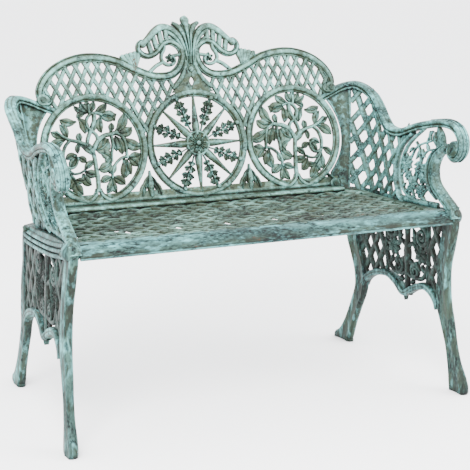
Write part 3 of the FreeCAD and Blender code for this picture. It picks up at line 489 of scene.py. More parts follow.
# Palmette: a low web with a hole through its foot, flutes above it and two legs astride the hole.
WEB_V = [132, 140, 148, 154, 160, 166, 172, 182, 200, 214, 236, 256, 276, 292, 304, 313]
WEB_IN = [0, 0, 0, 4.6, 6.4, 4.6, 0, 0, 0, 0, 0, 0, 0, 0, 0, 0]
WEB_OUT = [57, 51, 44, 39, 34, 30, 27, 22, 20, 19, 19, 22, 28, 28, 22, 8]
FLAT = np.array([(1, 0, 0), (1, .8, .3), (.94, 1, .6), (-.94, 1, .6), (-1, .8, .3), (-1, 0, 0)], float)
web_out, web_in = np.column_stack([WEB_OUT, WEB_V]), np.column_stack([WEB_IN, WEB_V])
crest.append(between(web_in, web_out, FLAT, tall=7.0))
FLUTES = (([(3, 205), (4, 232), (7, 262), (11, 284), (22, 303), (36, 313)],
           [(0, 2), (.5, 3.4), (.85, 8), (1, 5)], 13),
          ([(9, 200), (9, 225), (14, 251), (25, 278), (44, 298), (67, 302), (88, 291), (106, 274),
            (122, 260)],
           [(0, 2.5), (.25, 4.5), (.5, 8), (.7, 10), (.9, 8.5), (1, 7)], 15),
          ([(15, 205), (15, 226), (18, 244), (26, 263), (38, 279), (53, 290)],
           [(0, 2), (.4, 4), (.8, 6), (1, 5.5)], 12),
          ([(24, 214), (24, 236), (32, 255), (47, 270), (63, 276)],
           [(0, 2), (.5, 4.5), (.9, 5.5), (1, 3)], 10),
          ([(11, 214), (15, 197), (26, 173), (40, 156), (54, 142)],
           [(0, 4), (.5, 6.5), (.85, 6.5), (1, 3)], 13))
for line, knots, tall in FLUTES:
    path = smooth(line, 4)
    swell = spread([(0, .8), (.4, 1), (1, .92)], len(path))
    crest.append(carry(path, FLUTE, spread(knots, len(path)), tall=tall * swell))
crest.append(knob((54, 290), 5.5, 5.0, around=12))
for upper, lower in (((58, 300), (56, 266)), ((76, 296), (72, 260)), ((94, 284), (86, 244)),
                     ((110, 270), (102, 234))):
    crest.append(carry(smooth([upper, lower], 5), HALF_ROUND, 7.0, tall=9.5))

# Curl with its flower inside the C scroll, and the two bars that hold it.
curl = smooth([(66, 258), (68, 244), (76, 231), (77, 217), (65, 205), (49, 205), (41, 214), (46, 224),
               (56, 224)], 3)
crest.append(carry(curl, HALF_ROUND, spread([(0, 4.5), (.7, 4.5), (1, 2.5)], len(curl)), tall=11.0))
crest.append(carry(smooth([(20, 231), (50, 226)], 5), HALF_ROUND, 4.6, tall=9.5))
crest.append(carry(smooth([(74, 212), (94, 202), (114, 186)], 5), HALF_ROUND, 5.0, tall=9.5))
flower = [rotated(blade((1, 0), (13, 0), 4.2, tall=12.0, lift=2.0, steps=6),
                  72 * k + 20) for k in range(5)]
crest += [shifted(part, 54, 221) for part in flower + [knob((0, 0), 3.4, 10.0, around=10)]]
FAN = (((136, 240), (148, 198)), ((148, 241), (150, 198)), ((160, 239), (152, 198)),
       ((173, 236), (155, 199)), ((186, 232), (158, 201)))
for tip, foot_at in FAN:
    line = smooth([foot_at, tip], 4)
    crest.append(carry(line, FLUTE, spread([(0, 2.5), (.6, 6.2), (.9, 7.6), (1, 4)], len(line)), tall=9.0))
crest = crest + mirrored(crest)
DROP_V = [206, 230, 262, 284, 300, 308, 314, 320, 325, 329, 331.5]
DROP_HALF = [3, 2.2, 2.4, 3.6, 6.5, 8.6, 10.4, 11.2, 10.2, 7.0, 2.0]
drop_v, drop_half = smooth(list(zip(DROP_V, DROP_HALF)), 2).T
drop_tall = np.interp(drop_v, [206, 262, 300, 320, 332], [14, 16, 16, 19, 10])
crest.append(between(np.column_stack([-drop_half, drop_v]), np.column_stack([drop_half, drop_v]), FLUTE,
                     tall=drop_tall))
crest.append(knob((0, 191), 7.5, 7.0))
fitted(cast("back_rail_and_crest", crest, on_panel), back_paint, "back_casting")

# ---------------------------------------------------------------------------------------------
# Back casting, lattice.  Slanting bars fill the space between the rail and the rings.  They are
# cast as if woven, each bar rising over one neighbour and dipping under the next.
# ---------------------------------------------------------------------------------------------
SLAT = np.array([(1, 0, 0), (1, .55, .1), (.72, .95, .8), (.25, 1, 1), (-.25, 1, 1), (-.72, .95, .8),
                 (-1, .55, .1), (-1, 0, 0)], float)


def within(polygon, points):
    """Whether each point is inside a polygon, by the parity of the edges crossed by a line to its right."""
    a = np.asarray(polygon, float)
    b = np.roll(a, -1, 0)
    x, y = points[:, 0][:, None], points[:, 1][:, None]
    spans = (a[:, 1] > y) != (b[:, 1] > y)
    rise = np.where(b[:, 1] == a[:, 1], 1e-9, b[:, 1] - a[:, 1])
    return (spans & (x < (b[:, 0] - a[:, 0]) * (y - a[:, 1]) / rise + a[:, 0])).sum(1) % 2 == 1


def lattice(inside, pitch_u, pitch_v, half, base, tall, weave, offset=(0.0, 0.0), span=12, lap=5.0,
            template=SLAT):
    """Woven bars: families a = u/pu - v/pv and b = u/pu + v/pv run at whole numbers.

    A point of bar a = k lies at u = pu (k + b) / 2, v = pv (b - k) / 2, and rises weave * cos(pi (k + b));
    the other family rises by the opposite sign.  Each bar is kept where inside(points) holds, and
    runs on past it by lap.  Bars are numbered from -span to span.
    """
    def bar_points(b, k, lean):
        return np.column_stack([pitch_u * (k + b) / 2 + offset[0],
                                lean * pitch_v * (b - k) / 2 + offset[1]])

    bars = []
    t = np.linspace(-span, span, span * 24 + 1)
    unit = math.hypot(pitch_u, pitch_v) / 2
    for lean in (1, -1):
        for k in range(-span, span + 1):
            line = bar_points(t, k, lean)
            kept = np.flatnonzero(inside(line))
            if not len(kept):
                continue
            for run in np.split(kept, np.flatnonzero(np.diff(kept) > 1) + 1):
                first, last = t[run[0]], t[run[-1]]
                if (last - first) * unit < 4:
                    continue
                s = np.linspace(first - lap / unit, last + lap / unit, max(int((last - first) * 4), 2) + 2)
                rise = lean * weave * np.cos(math.pi * (k + s))
                bars.append(carry(bar_points(s, k, lean), template, half, base + rise, tall))
    return bars


over_lattice = (rail_path[:, 0] > 58) & (rail_path[:, 1] < 232)
rail_outer = rail_path[over_lattice & (rail_gone > .03) & (rail_gone < .62)]
field = np.vstack([rail_outer, [(60, 176), (54, 150), (62, 90), (139, 20), (215, 90), (340, 100),
                                (392, 118)]])


def in_back_field(points):
    """Under the rail and clear of the middle lines of the rings."""
    open_middle = np.hypot(points[:, 0], points[:, 1]) > RING_MIDDLE + 3
    open_side = np.hypot(points[:, 0] - RING_PITCH, points[:, 1]) > RING_MIDDLE + 3
    return within(field, points) & open_middle & open_side


weave = lattice(in_back_field, 28.0, 52.0, 5.1, -3.8, 6.6, 1.5, offset=(138.7, 100.0), span=14)
fitted(cast("back_lattice", weave + mirrored(weave), on_panel), back_paint, "back_casting")

# ---------------------------------------------------------------------------------------------
# Back casting, foot.  A moulded rail under the rings carries palmette drops, and a ledge turns
# forward from it over the seat's rear edge, where one bolt holds the two castings together.
# ---------------------------------------------------------------------------------------------
FOOT_HALF = 398.0
FOOT_RAIL = np.array([(1, 0, 0), (1, .55, .3), (.90, .62, .6), (.30, .62, .5), (.15, .66, .2),
                      (.05, .80, .7), (-.15, .92, 1), (-.40, .90, .8), (-.55, .72, .1), (-.75, .80, .6),
                      (-1, .78, .6), (-1, 0, 0)],
                     float)


def level(x, y, z):
    """The bench's own frame, in millimetres."""
    return np.column_stack([x, y, z])


foot = [carry([(-FOOT_HALF, -128.0), (0, -128.0), (FOOT_HALF, -128.0)], FOOT_RAIL, 16.5, tall=11.5)]
drops = [blade((139, -62), (139, -137), 9.0, tall=13, template=FLUTE),
         blade((138, -84), (114, -134), 8.6, -.14, tall=12),
         blade((140, -84), (164, -134), 8.6, .14, tall=12),
         blade((138, -72), (122, -118), 6.6, -.08, tall=11),
         blade((140, -72), (156, -118), 6.6, .08, tall=11), knob((139, -104), 6.0, 10.0, around=12),
         carry(smooth([(362, -100), (379, -112), (392, -126), (397, -142)], 4), HALF_ROUND, 3.6, tall=14)]
boss_r = [14, 14, 13.2, 12, 11]
for at in ((400, 128), (386, -131)):
    drops.append(shifted(turned(boss_r, [-5, 7.4, 8.6, 9, 9], [0, .5, 1, .8, .8], 24), *at))
fitted(cast("back_foot_rail", foot + drops + mirrored(drops), on_panel), back_paint, "back_casting")

LEDGE = np.array([(1, 0, 0), (1, .9, .4), (.96, 1, .6), (-.80, 1, .8), (-.94, .85, 1), (-1, .5, .8),
                  (-1, 0, 0)], float)
ledge_y = back_low.y / MM + LEDGE_REACH / 2
ledge = carry([(-FOOT_HALF, ledge_y), (0, ledge_y), (FOOT_HALF, ledge_y)], LEDGE, LEDGE_REACH / 2,
              base=back_low.z / MM, tall=7.0)
fitted(cast("back_ledge", [ledge], level), back_paint, "back_casting")

# ---------------------------------------------------------------------------------------------
# Seat casting.  One dished grille of woven-looking diamonds inside a flat rim, with the front edge
# rolled down into a plain apron.  It is bolted to the ends through the rim's four bosses.
# ---------------------------------------------------------------------------------------------
seat_low, seat_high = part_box("seat_casting")
SEAT_FRONT, SEAT_REAR = seat_low.y / MM, seat_high.y / MM
SEAT_CROWN = seat_high.z / MM
SEAT_REAR_HALF = 454.6          # half width at the rear
SEAT_CORNER, RIM_HALF = 60.0, 13.0
SEAT_LINE = smooth([(-228, 0), (-176, -4), (-100, -7.6), (50, -10.5), (120, -9), (168, -6)], 8)


def seat_top(y):
    """Height of the seat's dished top."""
    return SEAT_CROWN + np.interp(y, SEAT_LINE[:, 0], SEAT_LINE[:, 1])


def on_seat(x, y, w):
    """A height w above the dished seat; the grille is thin at a few places in its front row."""
    thin = np.exp(-((y + 98) / 20) ** 2) * np.cos(math.pi * (x + 56) / 130) ** 4
    depth = 1.35 - 1.1 * thin
    return np.column_stack([x, y, seat_top(y) + np.where(w < 0, w * depth, w)])


def seat_half(y):
    """The seat's half width, straight from front to rear."""
    return np.interp(y, [SEAT_FRONT, SEAT_REAR], [seat_high.x / MM, SEAT_REAR_HALF])


seat_paint = verdigris("verdigris_seat",
                       ((0.02, 0.025, 0.016), (0.036, 0.05, 0.034),
                        (0.06, 0.102, 0.076), (0.13, 0.28, 0.24)),
                       ((0.014, 0.019, 0.01), (0.002, 0.0026, 0.0018)),
                       worn=(0.007, 0.007, 0.006), worn_from=0.52, stretch=(0.5, 1.0, 1.0))


def in_seat_field(points):
    """Inside the rim."""
    return ((np.abs(points[:, 0]) < seat_half(points[:, 1]) - 24) & (points[:, 1] > -228)
            & (points[:, 1] < 145) & (np.abs(points[:, 0]) + points[:, 1] < 560))


grille = lattice(in_seat_field, 62.0, 53.0, 7.2, -6.5, 6.5, 1.1, offset=(0.0, -98.0), span=20)
RIM = np.array([(1, 0, 0), (1, .75, .3), (.86, .98, .8), (.4, .95, .6), (0, .92, .6), (-.5, .95, .6),
                (-.88, 1, .9), (-1, .8, .4), (-1, 0, 0)], float)
corner = np.radians(np.linspace(0, 90, 9))
side_y = SEAT_REAR - SEAT_CORNER
rim_y = np.linspace(-240, side_y, 20)
rim_side = np.column_stack([seat_half(rim_y) - RIM_HALF, rim_y])
bend = SEAT_CORNER - RIM_HALF
rim_corner = np.column_stack([seat_half(side_y) - SEAT_CORNER + bend * np.cos(corner),
                              side_y + bend * np.sin(corner)])
rim_path = np.vstack([rim_side, rim_corner[1:], [(0.0, SEAT_REAR - RIM_HALF)]])
rim_path = np.vstack([rim_path, (rim_path[:-1] * np.array([-1.0, 1.0]))[::-1]])
rim = carry(rim_path, RIM, RIM_HALF, base=-7.0, tall=7.0)
fitted(cast("seat_grille", grille + [rim], on_seat), seat_paint, "seat_casting")

APRON = [(16, 454.0), (16, 459.6), (8, 460.5), (0, 461.0), (-8, 460.2), (-17, 457.6), (-25, 452.6),
         (-31, 446.0), (-35, 439.5), (-36.6, 436.4), (-37.8, 435.0), (-38.0, 431.6), (-36.4, 430.4),
         (-33.2, 431.0), (-29, 438.0), (-24, 445.0), (-16, 450.6), (-8, 453.2), (0, 454.0)]
# Crown per profile point: full on the lip, none in the notch above it or along the inner face, so the lip
# takes the painted highlight and the inner face the painted shade.
apron_crown = [.3, .6, .8, .9, .9, .9, .8, .7, .5, 0, 1, 1, .5, 0, 0, 0, 0, 0, 0]
apron_template = np.column_stack([np.array(APRON), apron_crown])
apron_x = np.linspace(-seat_high.x / MM, seat_high.x / MM, 60)
apron = carry(np.column_stack([apron_x, np.full(60, -228.0)]), apron_template, 1.0, base=0.0, tall=1.0)
apron_paint = verdigris("verdigris_apron",
                        ((0.018, 0.026, 0.017), (0.03, 0.048, 0.034),
                         (0.05, 0.12, 0.1), (0.13, 0.4, 0.41)),
                        ((0.006, 0.008, 0.006), (0.002, 0.0026, 0.002)),
                        worn=(0.0035, 0.0042, 0.004), worn_from=0.48, stretch=(0.4, 1.0, 1.3))
fitted(cast("seat_apron", [apron], level), apron_paint, "seat_casting")

# ---------------------------------------------------------------------------------------------
# End castings, arm rails.  Each end is one iron casting, bolted to the seat and to the back.  Its
# rolled arm rail, thick and beaded, curls over at the front into a scroll and turns the corner at
# the rear to run in behind the back.
# ---------------------------------------------------------------------------------------------
end_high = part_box("left_end_casting")[1]
ARM_REACH = end_high.x / MM - 14
CORNER_BEND = 88.0              # radius of the rear corner
CORNER_TURN = 78.6              # how far in front of the back's panel the corner starts
SEAT_LEVEL, ARM_LEVEL = 440.0, 736.0
FRONT_IN, REAR_IN = 25.0, 45.0  # how far in from the arm's reach the wall's foot stands
REAR_TOP_IN = 8.0               # and how far in its top stands at the rear


def on_end(s, z, w):
    """The end's upper wall, s along it and w out of it.

    It runs straight to the rear, leaning out with height, then turns a quarter circle and runs
    inward behind the back, whose lean it follows.
    """
    up = (z - SEAT_LEVEL) / (ARM_LEVEL - SEAT_LEVEL)
    turn_y = panel_y + (z - panel_z) * math.tan(RAKE) - CORNER_TURN
    front = ARM_REACH - FRONT_IN + FRONT_IN * up
    middle = ARM_REACH - REAR_IN + REAR_IN * up
    rear = ARM_REACH - REAR_IN + (REAR_IN - REAR_TOP_IN) * up
    y = np.minimum(s, turn_y)
    x = np.where(y < -60, middle + (front - middle) * (-60 - y) / 240,
                 middle + (rear - middle) * (y + 60) / (turn_y + 60))
    angle = np.clip((s - turn_y) / CORNER_BEND, 0, math.pi / 2)
    beyond = np.maximum(s - turn_y - CORNER_BEND * math.pi / 2, 0)
    out = CORNER_BEND + w
    return np.column_stack([np.where(angle > 0, rear - CORNER_BEND + out * np.cos(angle) - beyond, x + w),
                            np.where(angle > 0, turn_y + out * np.sin(angle), y), z])


ARM = np.array([(10, 0, 1), (9.4, 5, .6), (9.8, 9, 1), (7.6, 12.6, .8), (4.0, 14, .9), (.6, 13.2, .6),
                (-1.6, 10.8, 0), (-2.8, 9.6, 0), (-4.2, 11.0, .6), (-6.0, 11.8, .9), (-8.4, 11.0, .5),
                (-9.8, 8.4, .1), (-10, 3, 0)],
               float)
ARM = np.vstack([ARM, (ARM[1:] * np.array([1.0, -1.0, 1.0]))[::-1]])
ARM_LINE = [(-214, 616), (-207, 604), (-216, 590), (-236, 588), (-250, 605), (-247, 632), (-225, 655),
            (-190, 664), (-142, 661), (-69, 646), (5, 622), (59, 623), (93, 643), (121, 668), (150, 690),
            (173, 704), (200, 717), (226, 725), (246, 724), (266, 718), (286, 709), (308, 698), (326, 690)]
arm_path = smooth(ARM_LINE, 5)
arm_gone = np.r_[0, np.cumsum(np.hypot(*np.diff(arm_path, axis=0).T))]
arm_gone /= arm_gone[-1]
arm_wide = np.interp(arm_gone, [0, .05, .12, .22, 1], [.55, .8, 1.05, 1, 1])
arm_tall = np.interp(arm_gone, [0, .05, .15, .3, 1], [1.0, 1.06, 1.06, 1, 1])
end_paint = verdigris("verdigris_ends",
                      ((0.026, 0.038, 0.024), (0.044, 0.078, 0.056),
                       (0.07, 0.165, 0.14), (0.15, 0.44, 0.44)),
                      ((0.01, 0.014, 0.009), (0.0022, 0.003, 0.0022)),
                      worn=(0.005, 0.006, 0.0055), worn_from=0.55)


def both_ends(name, parts, place, paint=None):
    """The same bars on the left end and, turned over, on the right end."""
    for hand, flip in (("left", False), ("right", True)):
        fitted(cast(f"{hand}_{name}", parts, place, flip), paint or end_paint, f"{hand}_end_casting")


arms = [carry(arm_path, ARM, arm_wide, base=0.0, tall=arm_tall)]
top_path = arm_path[(arm_gone > .02) & (arm_gone < .34)]
normal = np.gradient(top_path, axis=0)
normal = np.column_stack([-normal[:, 1], normal[:, 0]]) / np.hypot(*normal.T)[:, None]
SCROLL_RIB = np.array([(1, -1, 1), (1, 1, 1), (-1, 1, .3), (-1, -1, .3)], float)
for w in (-5.2, 5.2):
    arms.append(between(top_path + normal * 11.6, top_path + normal * 7, SCROLL_RIB, base=w,
                        tall=spread([(0, 1.2), (.4, 1.9), (.8, 1.6), (1, .4)], len(top_path))))
SCROLL_DRUM = np.array([(17, -15, .4), (19.5, -13.5, .8), (20, -10, 1), (20, 10, 1), (19.5, 13.5, .8),
                        (17, 15, .9), (13, 14.4, .5), (12, 13, 0), (6, 14.4, .8), (1, 15, 1)])
arms.append(shifted(turned(*SCROLL_DRUM.T, 28), -228, 609))


def on_arm(s, z, w):
    """The upper wall, its scroll set a little further out."""
    place = on_end(s, z, w)
    place[:, 0] += 5.0 * np.clip((-s - 40) / 120, 0, 1)
    return place


both_ends("arm_rail", arms, on_arm)

# ---------------------------------------------------------------------------------------------
# End castings, stile and front bay.  An S-shaped stile stands from the seat to the scroll; behind
# it a doubled C rib closes the lattice off, and between the two grow flowers and fern leaves.
# ---------------------------------------------------------------------------------------------
ROLL = np.array([(10, 0, .8), (9.4, 8, .6), (7.4, 13, .8), (3.0, 14, 1), (0, 12.6, .3), (-3.0, 13.4, 1),
                 (-7.4, 12.4, .8), (-9.4, 7.6, .5), (-10, 0, .4)], float)
ROLL = np.vstack([ROLL, (ROLL[1:-1] * np.array([1.0, -1.0, 1.0]))[::-1]])
ROUND_BAR = np.array([(math.cos(a), math.sin(a), .35 + .65 * abs(math.sin(a)))
                      for a in np.radians(np.arange(0, 360, 36))])
stile = smooth([(-196, 612), (-178, 598), (-161, 580), (-154, 550), (-168, 515), (-205, 488), (-245, 463),
                (-257, 440)], 5)[::-1]
bay = [carry(stile, ROLL, spread([(0, 1.2), (.3, 1.05), (.8, .95), (1, .7)], len(stile)), base=0.0,
             tall=1.0)]
C_RIB = [(-54, 450), (-28, 463), (-5, 492), (5, 514), (9, 537), (6, 561), (-4, 586), (-20, 604),
         (-46, 626)]
INNER_RIB = [(-92, 462), (-48, 478), (-23, 507), (-15, 541), (-27, 584), (-52, 612), (-80, 634),
             (-104, 652)]
STILE_RIB = [(-182, 479), (-149, 498), (-131, 522), (-125, 556), (-139, 587), (-178, 613)]
for line, half, out in ((C_RIB, 6.0, 9.0), (INNER_RIB, 4.4, 6.5), (STILE_RIB, 4.4, 7.0)):
    path = smooth(line, 5)
    bay.append(carry(path, ROUND_BAR, half, base=0.0, tall=out))


def lens(foot, tip, half, bow=0.0, out=6.0):
    """A leaf seen from both faces: a pointed blade whose ridge stands out on each side of the wall."""
    foot, tip = np.array(foot, float), np.array(tip, float)
    t = np.linspace(0, 1, 8)
    side = np.array([-(tip - foot)[1], (tip - foot)[0]])
    path = foot + np.outer(t, tip - foot) + np.outer(4 * t * (1 - t) * bow, side)
    wide = half * np.maximum(np.sin(math.pi * t ** 0.8) ** 0.85, spread([(0, .25), (1, .03)], len(t)))
    section = np.array([(1, 0, 0), (.75, .55, .6), (.3, .62, .5), (0, 1, 1), (-.3, .62, .5),
                        (-.75, .55, .6), (-1, 0, 0), (-.75, -.55, .6), (0, -.9, 1), (.75, -.55, .6)])
    return carry(path, section, wide, base=0.0, tall=out * spread([(0, .7), (.4, 1), (1, .5)], len(t)))


def boss(at, radius, out):
    """A button that stands out on both faces of the wall."""
    a = np.radians(np.linspace(-80, 80, 9))
    return shifted(turned(radius * np.cos(a), out * np.sin(a), .3 + .7 * np.abs(np.sin(a)), 20), *at)


def flowers(at, radius, petals, turn=0.0, out=7.0):
    """A many-petalled head: two rounds of lens leaves about a button."""
    head = [rotated(lens((radius * .1, 0), (radius, 0), radius * .33, out=out), 360 / petals * k + turn)
            for k in range(petals)]
    head += [rotated(lens((0, 0), (radius * .66, 0), radius * .24, out=out + 2.5),
                     360 / petals * (k + .5) + turn)
             for k in range(petals)]
    head.append(boss((0, 0), radius * .24, out + 4))
    return [shifted(part, *at) for part in head]


for at, radius, petals, turn in (((-38, 547), 26, 9, 0), ((-98, 536), 24, 9, 10), ((-78, 504), 22, 8, 5),
                                 ((-116, 516), 15, 7, 0), ((-52, 520), 15, 7, 20),
                                 ((-108, 489), 17, 7, 10), ((-66, 482), 13, 6, 0),
                                 ((-122, 494), 14, 6, 0)):
    bay += flowers(at, radius, petals, turn)
TWIGS = ([(-66, 606), (-84, 590), (-96, 560), (-98, 536)],
         [(-168, 630), (-118, 612), (-92, 604), (-68, 590), (-52, 560)],
         [(-142, 596), (-116, 588), (-100, 566), (-98, 540)], [(-128, 560), (-108, 552), (-98, 536)],
         [(-98, 536), (-88, 520), (-78, 504), (-84, 480), (-96, 462)],
         [(-38, 547), (-50, 524), (-70, 506)], [(-130, 520), (-118, 506), (-108, 489), (-112, 470)],
         [(-148, 500), (-132, 488), (-120, 470)], [(-66, 482), (-60, 468), (-66, 456)],
         [(-128, 640), (-116, 622), (-110, 606)])
for line in TWIGS:
    bay.append(carry(smooth(line, 5), ROUND_BAR, 3.0, base=0.0, tall=4.5))
FERNS = (((-96, 592), (-112, 572), 6, .1), ((-84, 588), (-74, 562), 6, -.1),
         ((-112, 606), (-128, 590), 6, .1), ((-98, 556), (-122, 544), 6, .1),
         ((-92, 560), (-70, 548), 6, -.1), ((-140, 512), (-156, 496), 6, .1),
         ((-118, 478), (-140, 468), 7, .1), ((-96, 470), (-80, 458), 6, .1),
         ((-46, 498), (-36, 478), 6, .1), ((-30, 520), (-14, 508), 5, .1),
         ((-110, 470), (-132, 482), 5, 0), ((-58, 590), (-42, 574), 5, .1))
bay += [lens(*leaf[:3], leaf[3]) for leaf in FERNS]
bay.append(carry(smooth([(-190, 462), (-120, 459), (-40, 458)], 8), ROUND_BAR, 9.0, base=0.0, tall=6.0))
bay += [lens((-150, 654), (-196, 592), 19, .05, 8), lens((-168, 640), (-160, 584), 13, .05, 7),
        lens((-140, 640), (-150, 606), 8, .1, 7), lens((-118, 640), (-128, 616), 6, .1, 6)]
both_ends("stile_and_bay", bay, on_end)

# ---------------------------------------------------------------------------------------------
# End castings, arm lattice and corner.  The lattice bars meet in filled corners.  The corner strip
# behind them is a plate with a sunk, beaded field, and ends in a hollow curve round the outer
# medallion, behind the back.
# ---------------------------------------------------------------------------------------------
under_arm = [tuple(p) for p in arm_path if p[0] > -40 and p[0] < 226]
arm_field = ([(-52, 452), (-26, 465), (-3, 494), (7, 516), (11, 537), (8, 561), (-2, 586), (-18, 604),
              (-38, 622)]
             + under_arm + [(234, 712), (225, 680), (209, 600), (195, 540), (183, 490), (174, 452)])
ARM_BAR = np.array([(1, 0, 0), (1, .45, .1), (.55, .9, .8), (.1, 1, 1), (-.1, 1, 1), (-.55, .9, .8),
                    (-1, .45, .1), (-1, 0, 0), (-.9, -.5, .2), (-.4, -.9, .8), (.4, -.9, .8),
                    (.9, -.5, .2)], float)
NET_PITCH_S, NET_PITCH_Z = 47.0, 71.0
NET_FROM = (28.0, 556.0)
net = lattice(lambda p: within(arm_field, p), NET_PITCH_S, NET_PITCH_Z, 8.4, 0.0, 4.6, 1.0,
              offset=NET_FROM, span=12, lap=4.0, template=ARM_BAR)
for k in range(-6, 7):
    for m in range(-6, 7):
        at = (NET_FROM[0] + NET_PITCH_S * k / 2, NET_FROM[1] + NET_PITCH_Z * m / 2)
        if (k + m) % 2 == 0 and within(arm_field, np.array([at]))[0]:
            net.append(lens((at[0], at[1] - 21), (at[0], at[1] + 21), 11.0, out=4.4))
both_ends("arm_lattice", net, on_end)

strip_z = np.linspace(448, 716, 40)
turn_y = panel_y + (strip_z - panel_z) * math.tan(RAKE) - CORNER_TURN
strip_up = (strip_z - SEAT_LEVEL) / (ARM_LEVEL - SEAT_LEVEL)
strip_rear = ARM_REACH - REAR_IN + (REAR_IN - REAR_TOP_IN) * strip_up
ring_v = (strip_z - panel_z) / math.cos(RAKE)
ring_edge = RING_PITCH + np.sqrt(np.maximum(148.0 ** 2 - ring_v ** 2, 0))
behind = np.maximum(strip_rear - CORNER_BEND - np.maximum(ring_edge, 385), -40)
strip_end = turn_y + CORNER_BEND * math.pi / 2 + behind
strip_start = turn_y + 84
PANEL_STRIP = np.array([(1, 0, 0), (1, .8, .5), (.93, 1, 1), (.84, .9, .5), (.78, .55, 0), (.4, .5, .8),
                        (0, .5, .9), (-.4, .5, .8), (-.78, .55, 0), (-.84, .9, .5), (-.93, 1, 1),
                        (-1, .8, .5), (-1, 0, 0), (-1, -.8, .5), (-.93, -1, 1), (-.84, -.9, .5),
                        (-.78, -.55, 0), (0, -.5, .5), (.78, -.55, 0), (.84, -.9, .5), (.93, -1, 1),
                        (1, -.8, .5)], float)
strip = between(np.column_stack([strip_start, strip_z]), np.column_stack([strip_end, strip_z]),
                PANEL_STRIP, base=0.0, tall=4.2)
both_ends("corner_strip", [strip], on_end)

# ---------------------------------------------------------------------------------------------
# End castings, legs and belt.  Cabriole legs with a ridge down the outer face stand on pad feet.
# A belt of three dipping reeds ties them at seat height, with a sloping shoulder up to the arm
# panel's foot, and a scalloped arch ties them below.
# ---------------------------------------------------------------------------------------------
def on_skirt(y, z, w):
    """The end's lower wall: straight front to rear, spreading to the ground, rounded in at the rear.

    forward is 0 at the rear toe and 1 at the front toe; x runs straight from the ground to the seat.
    """
    forward = (300 - y) / 600
    up = z / SEAT_CROWN
    ground = ARM_REACH - 37 + 36 * forward
    at_seat = ARM_REACH - 47 + 24 * forward
    inward = 14 * np.clip((y - 120) / 80, 0, 1.2) ** 2 * np.clip((z - 220) / 120, 0, 1)
    return np.column_stack([ground + (at_seat - ground) * up + w - inward, y, np.maximum(z, 0)])


LEG = np.array([(1, -.55, .2), (1, .25, .4), (.86, .72, .8), (.5, .82, .6), (.18, .90, .8), (0, 1, 1),
                (-.18, .90, .8), (-.5, .82, .6), (-.86, .72, .8), (-1, .25, .5), (-1, -.55, .2),
                (-.8, -.95, .6), (-.3, -.8, .3), (.3, -.8, .3), (.8, -.95, .6)], float)
FRONT_LEG = [(452, -243, 16), (440, -243, 20), (420, -238, 23), (373, -227, 21), (318, -214, 18),
             (267, -210, 20), (217, -211, 24), (168, -226, 21), (118, -240, 17), (71, -252, 20),
             (38, -263, 28), (20, -268, 31), (8, -269, 30.5), (0, -268, 28)]
REAR_LEG = [(428, 146, 10), (418, 149, 15), (408, 156, 18), (396, 165, 20), (375, 176, 20), (345, 184, 20),
            (308, 187, 20), (269, 178, 22), (216, 164, 25),
            (171, 166, 22), (123, 188, 20), (63, 218, 20), (24, 240, 28), (10, 254, 38), (0, 256, 40)]


def leg(stations):
    """A leg down its stations of height, middle and half width, as one bar carried down the wall."""
    z, y, half = np.array(stations, float).T
    fine = np.linspace(0, len(z) - 1, 6 * len(z))
    knots = np.arange(len(z))
    z_line = smooth(np.column_stack([knots * 10, z]), 1)
    y_line = smooth(np.column_stack([knots * 10, y]), 1)
    h_line = smooth(np.column_stack([knots * 10, half]), 1)
    z = np.interp(fine * 10, z_line[:, 0], z_line[:, 1])
    y = np.interp(fine * 10, y_line[:, 0], y_line[:, 1])
    half = np.interp(fine * 10, h_line[:, 0], h_line[:, 1])
    thick = np.interp(z, [0, 20, 60, 110, 200, 300, 461], [13, 13, 11.5, 11, 12, 13, 13])
    ahead = np.gradient(np.column_stack([y, z]), axis=0)
    ahead /= np.hypot(*ahead.T)[:, None]
    left = np.column_stack([-ahead[:, 1], ahead[:, 0]])
    upright = np.clip(z / 60, 0, 1)[:, None]
    left = left * upright + np.array([1.0, 0.0]) * (1 - upright)
    middle = np.column_stack([y, z])
    return between(middle + left * half[:, None], middle - left * half[:, None], LEG, base=0.0, tall=thick)


SPLAY_ARCH = [(-190, 196), (-180, 218), (-156, 237), (-127, 242), (-88, 229), (-42, 206), (-6, 228),
              (30, 241), (71, 237), (109, 224), (138, 204), (150, 186)]
arch_path = smooth(SPLAY_ARCH, 5)
legs = [leg(FRONT_LEG), leg(REAR_LEG),
        carry(arch_path, ROLL, .95, base=0.0, tall=.92),
        lens((-45, 226), (-45, 186), 9, out=12), lens((-50, 218), (-70, 204), 6, .1, out=10),
        lens((-40, 218), (-20, 204), 6, -.1, out=10)]
BELT = np.array([(1, -.7, .4), (1, .25, .4), (.9, .36, .8), (-.9, .36, .8), (-1, .25, .4), (-1, -.7, .4),
                 (-.8, -1, .5), (.8, -1, .5)], float)
band = smooth([(-244, 445), (-120, 438), (0, 426), (90, 416), (150, 411)], 6)
belt = [carry(band, BELT, spread([(0, 17), (.5, 19), (1, 21)], len(band)), base=3.0, tall=10.5)]
REED_DIP = [(-254, 468), (-226, 461), (-190, 452), (-100, 439), (0, 430), (90, 425), (154, 425)]
for drop in (0, -13, -26):
    reed = smooth([(y, z + drop) for y, z in REED_DIP], 6)
    reed_half = spread([(0, 3), (.1, 5.4), (.9, 5.4), (1, 4)], len(reed))
    belt.append(carry(reed, HALF_ROUND, reed_half, base=4.0, tall=9.5))
belt.append(shifted(boss((0, 0), 24, 23), -243, 447))
plinth_path = smooth([(-190, 452), (-90, 446), (20, 442), (120, 440), (182, 440)], 6)
plinth_half = spread([(0, 12), (.5, 16), (1, 18)], len(plinth_path))
plinth = [carry(plinth_path, BELT, plinth_half, base=0.0, tall=5.0)]
shoulder_path = np.column_stack([np.linspace(-236, 186, 40), np.full(40, 0.5)])
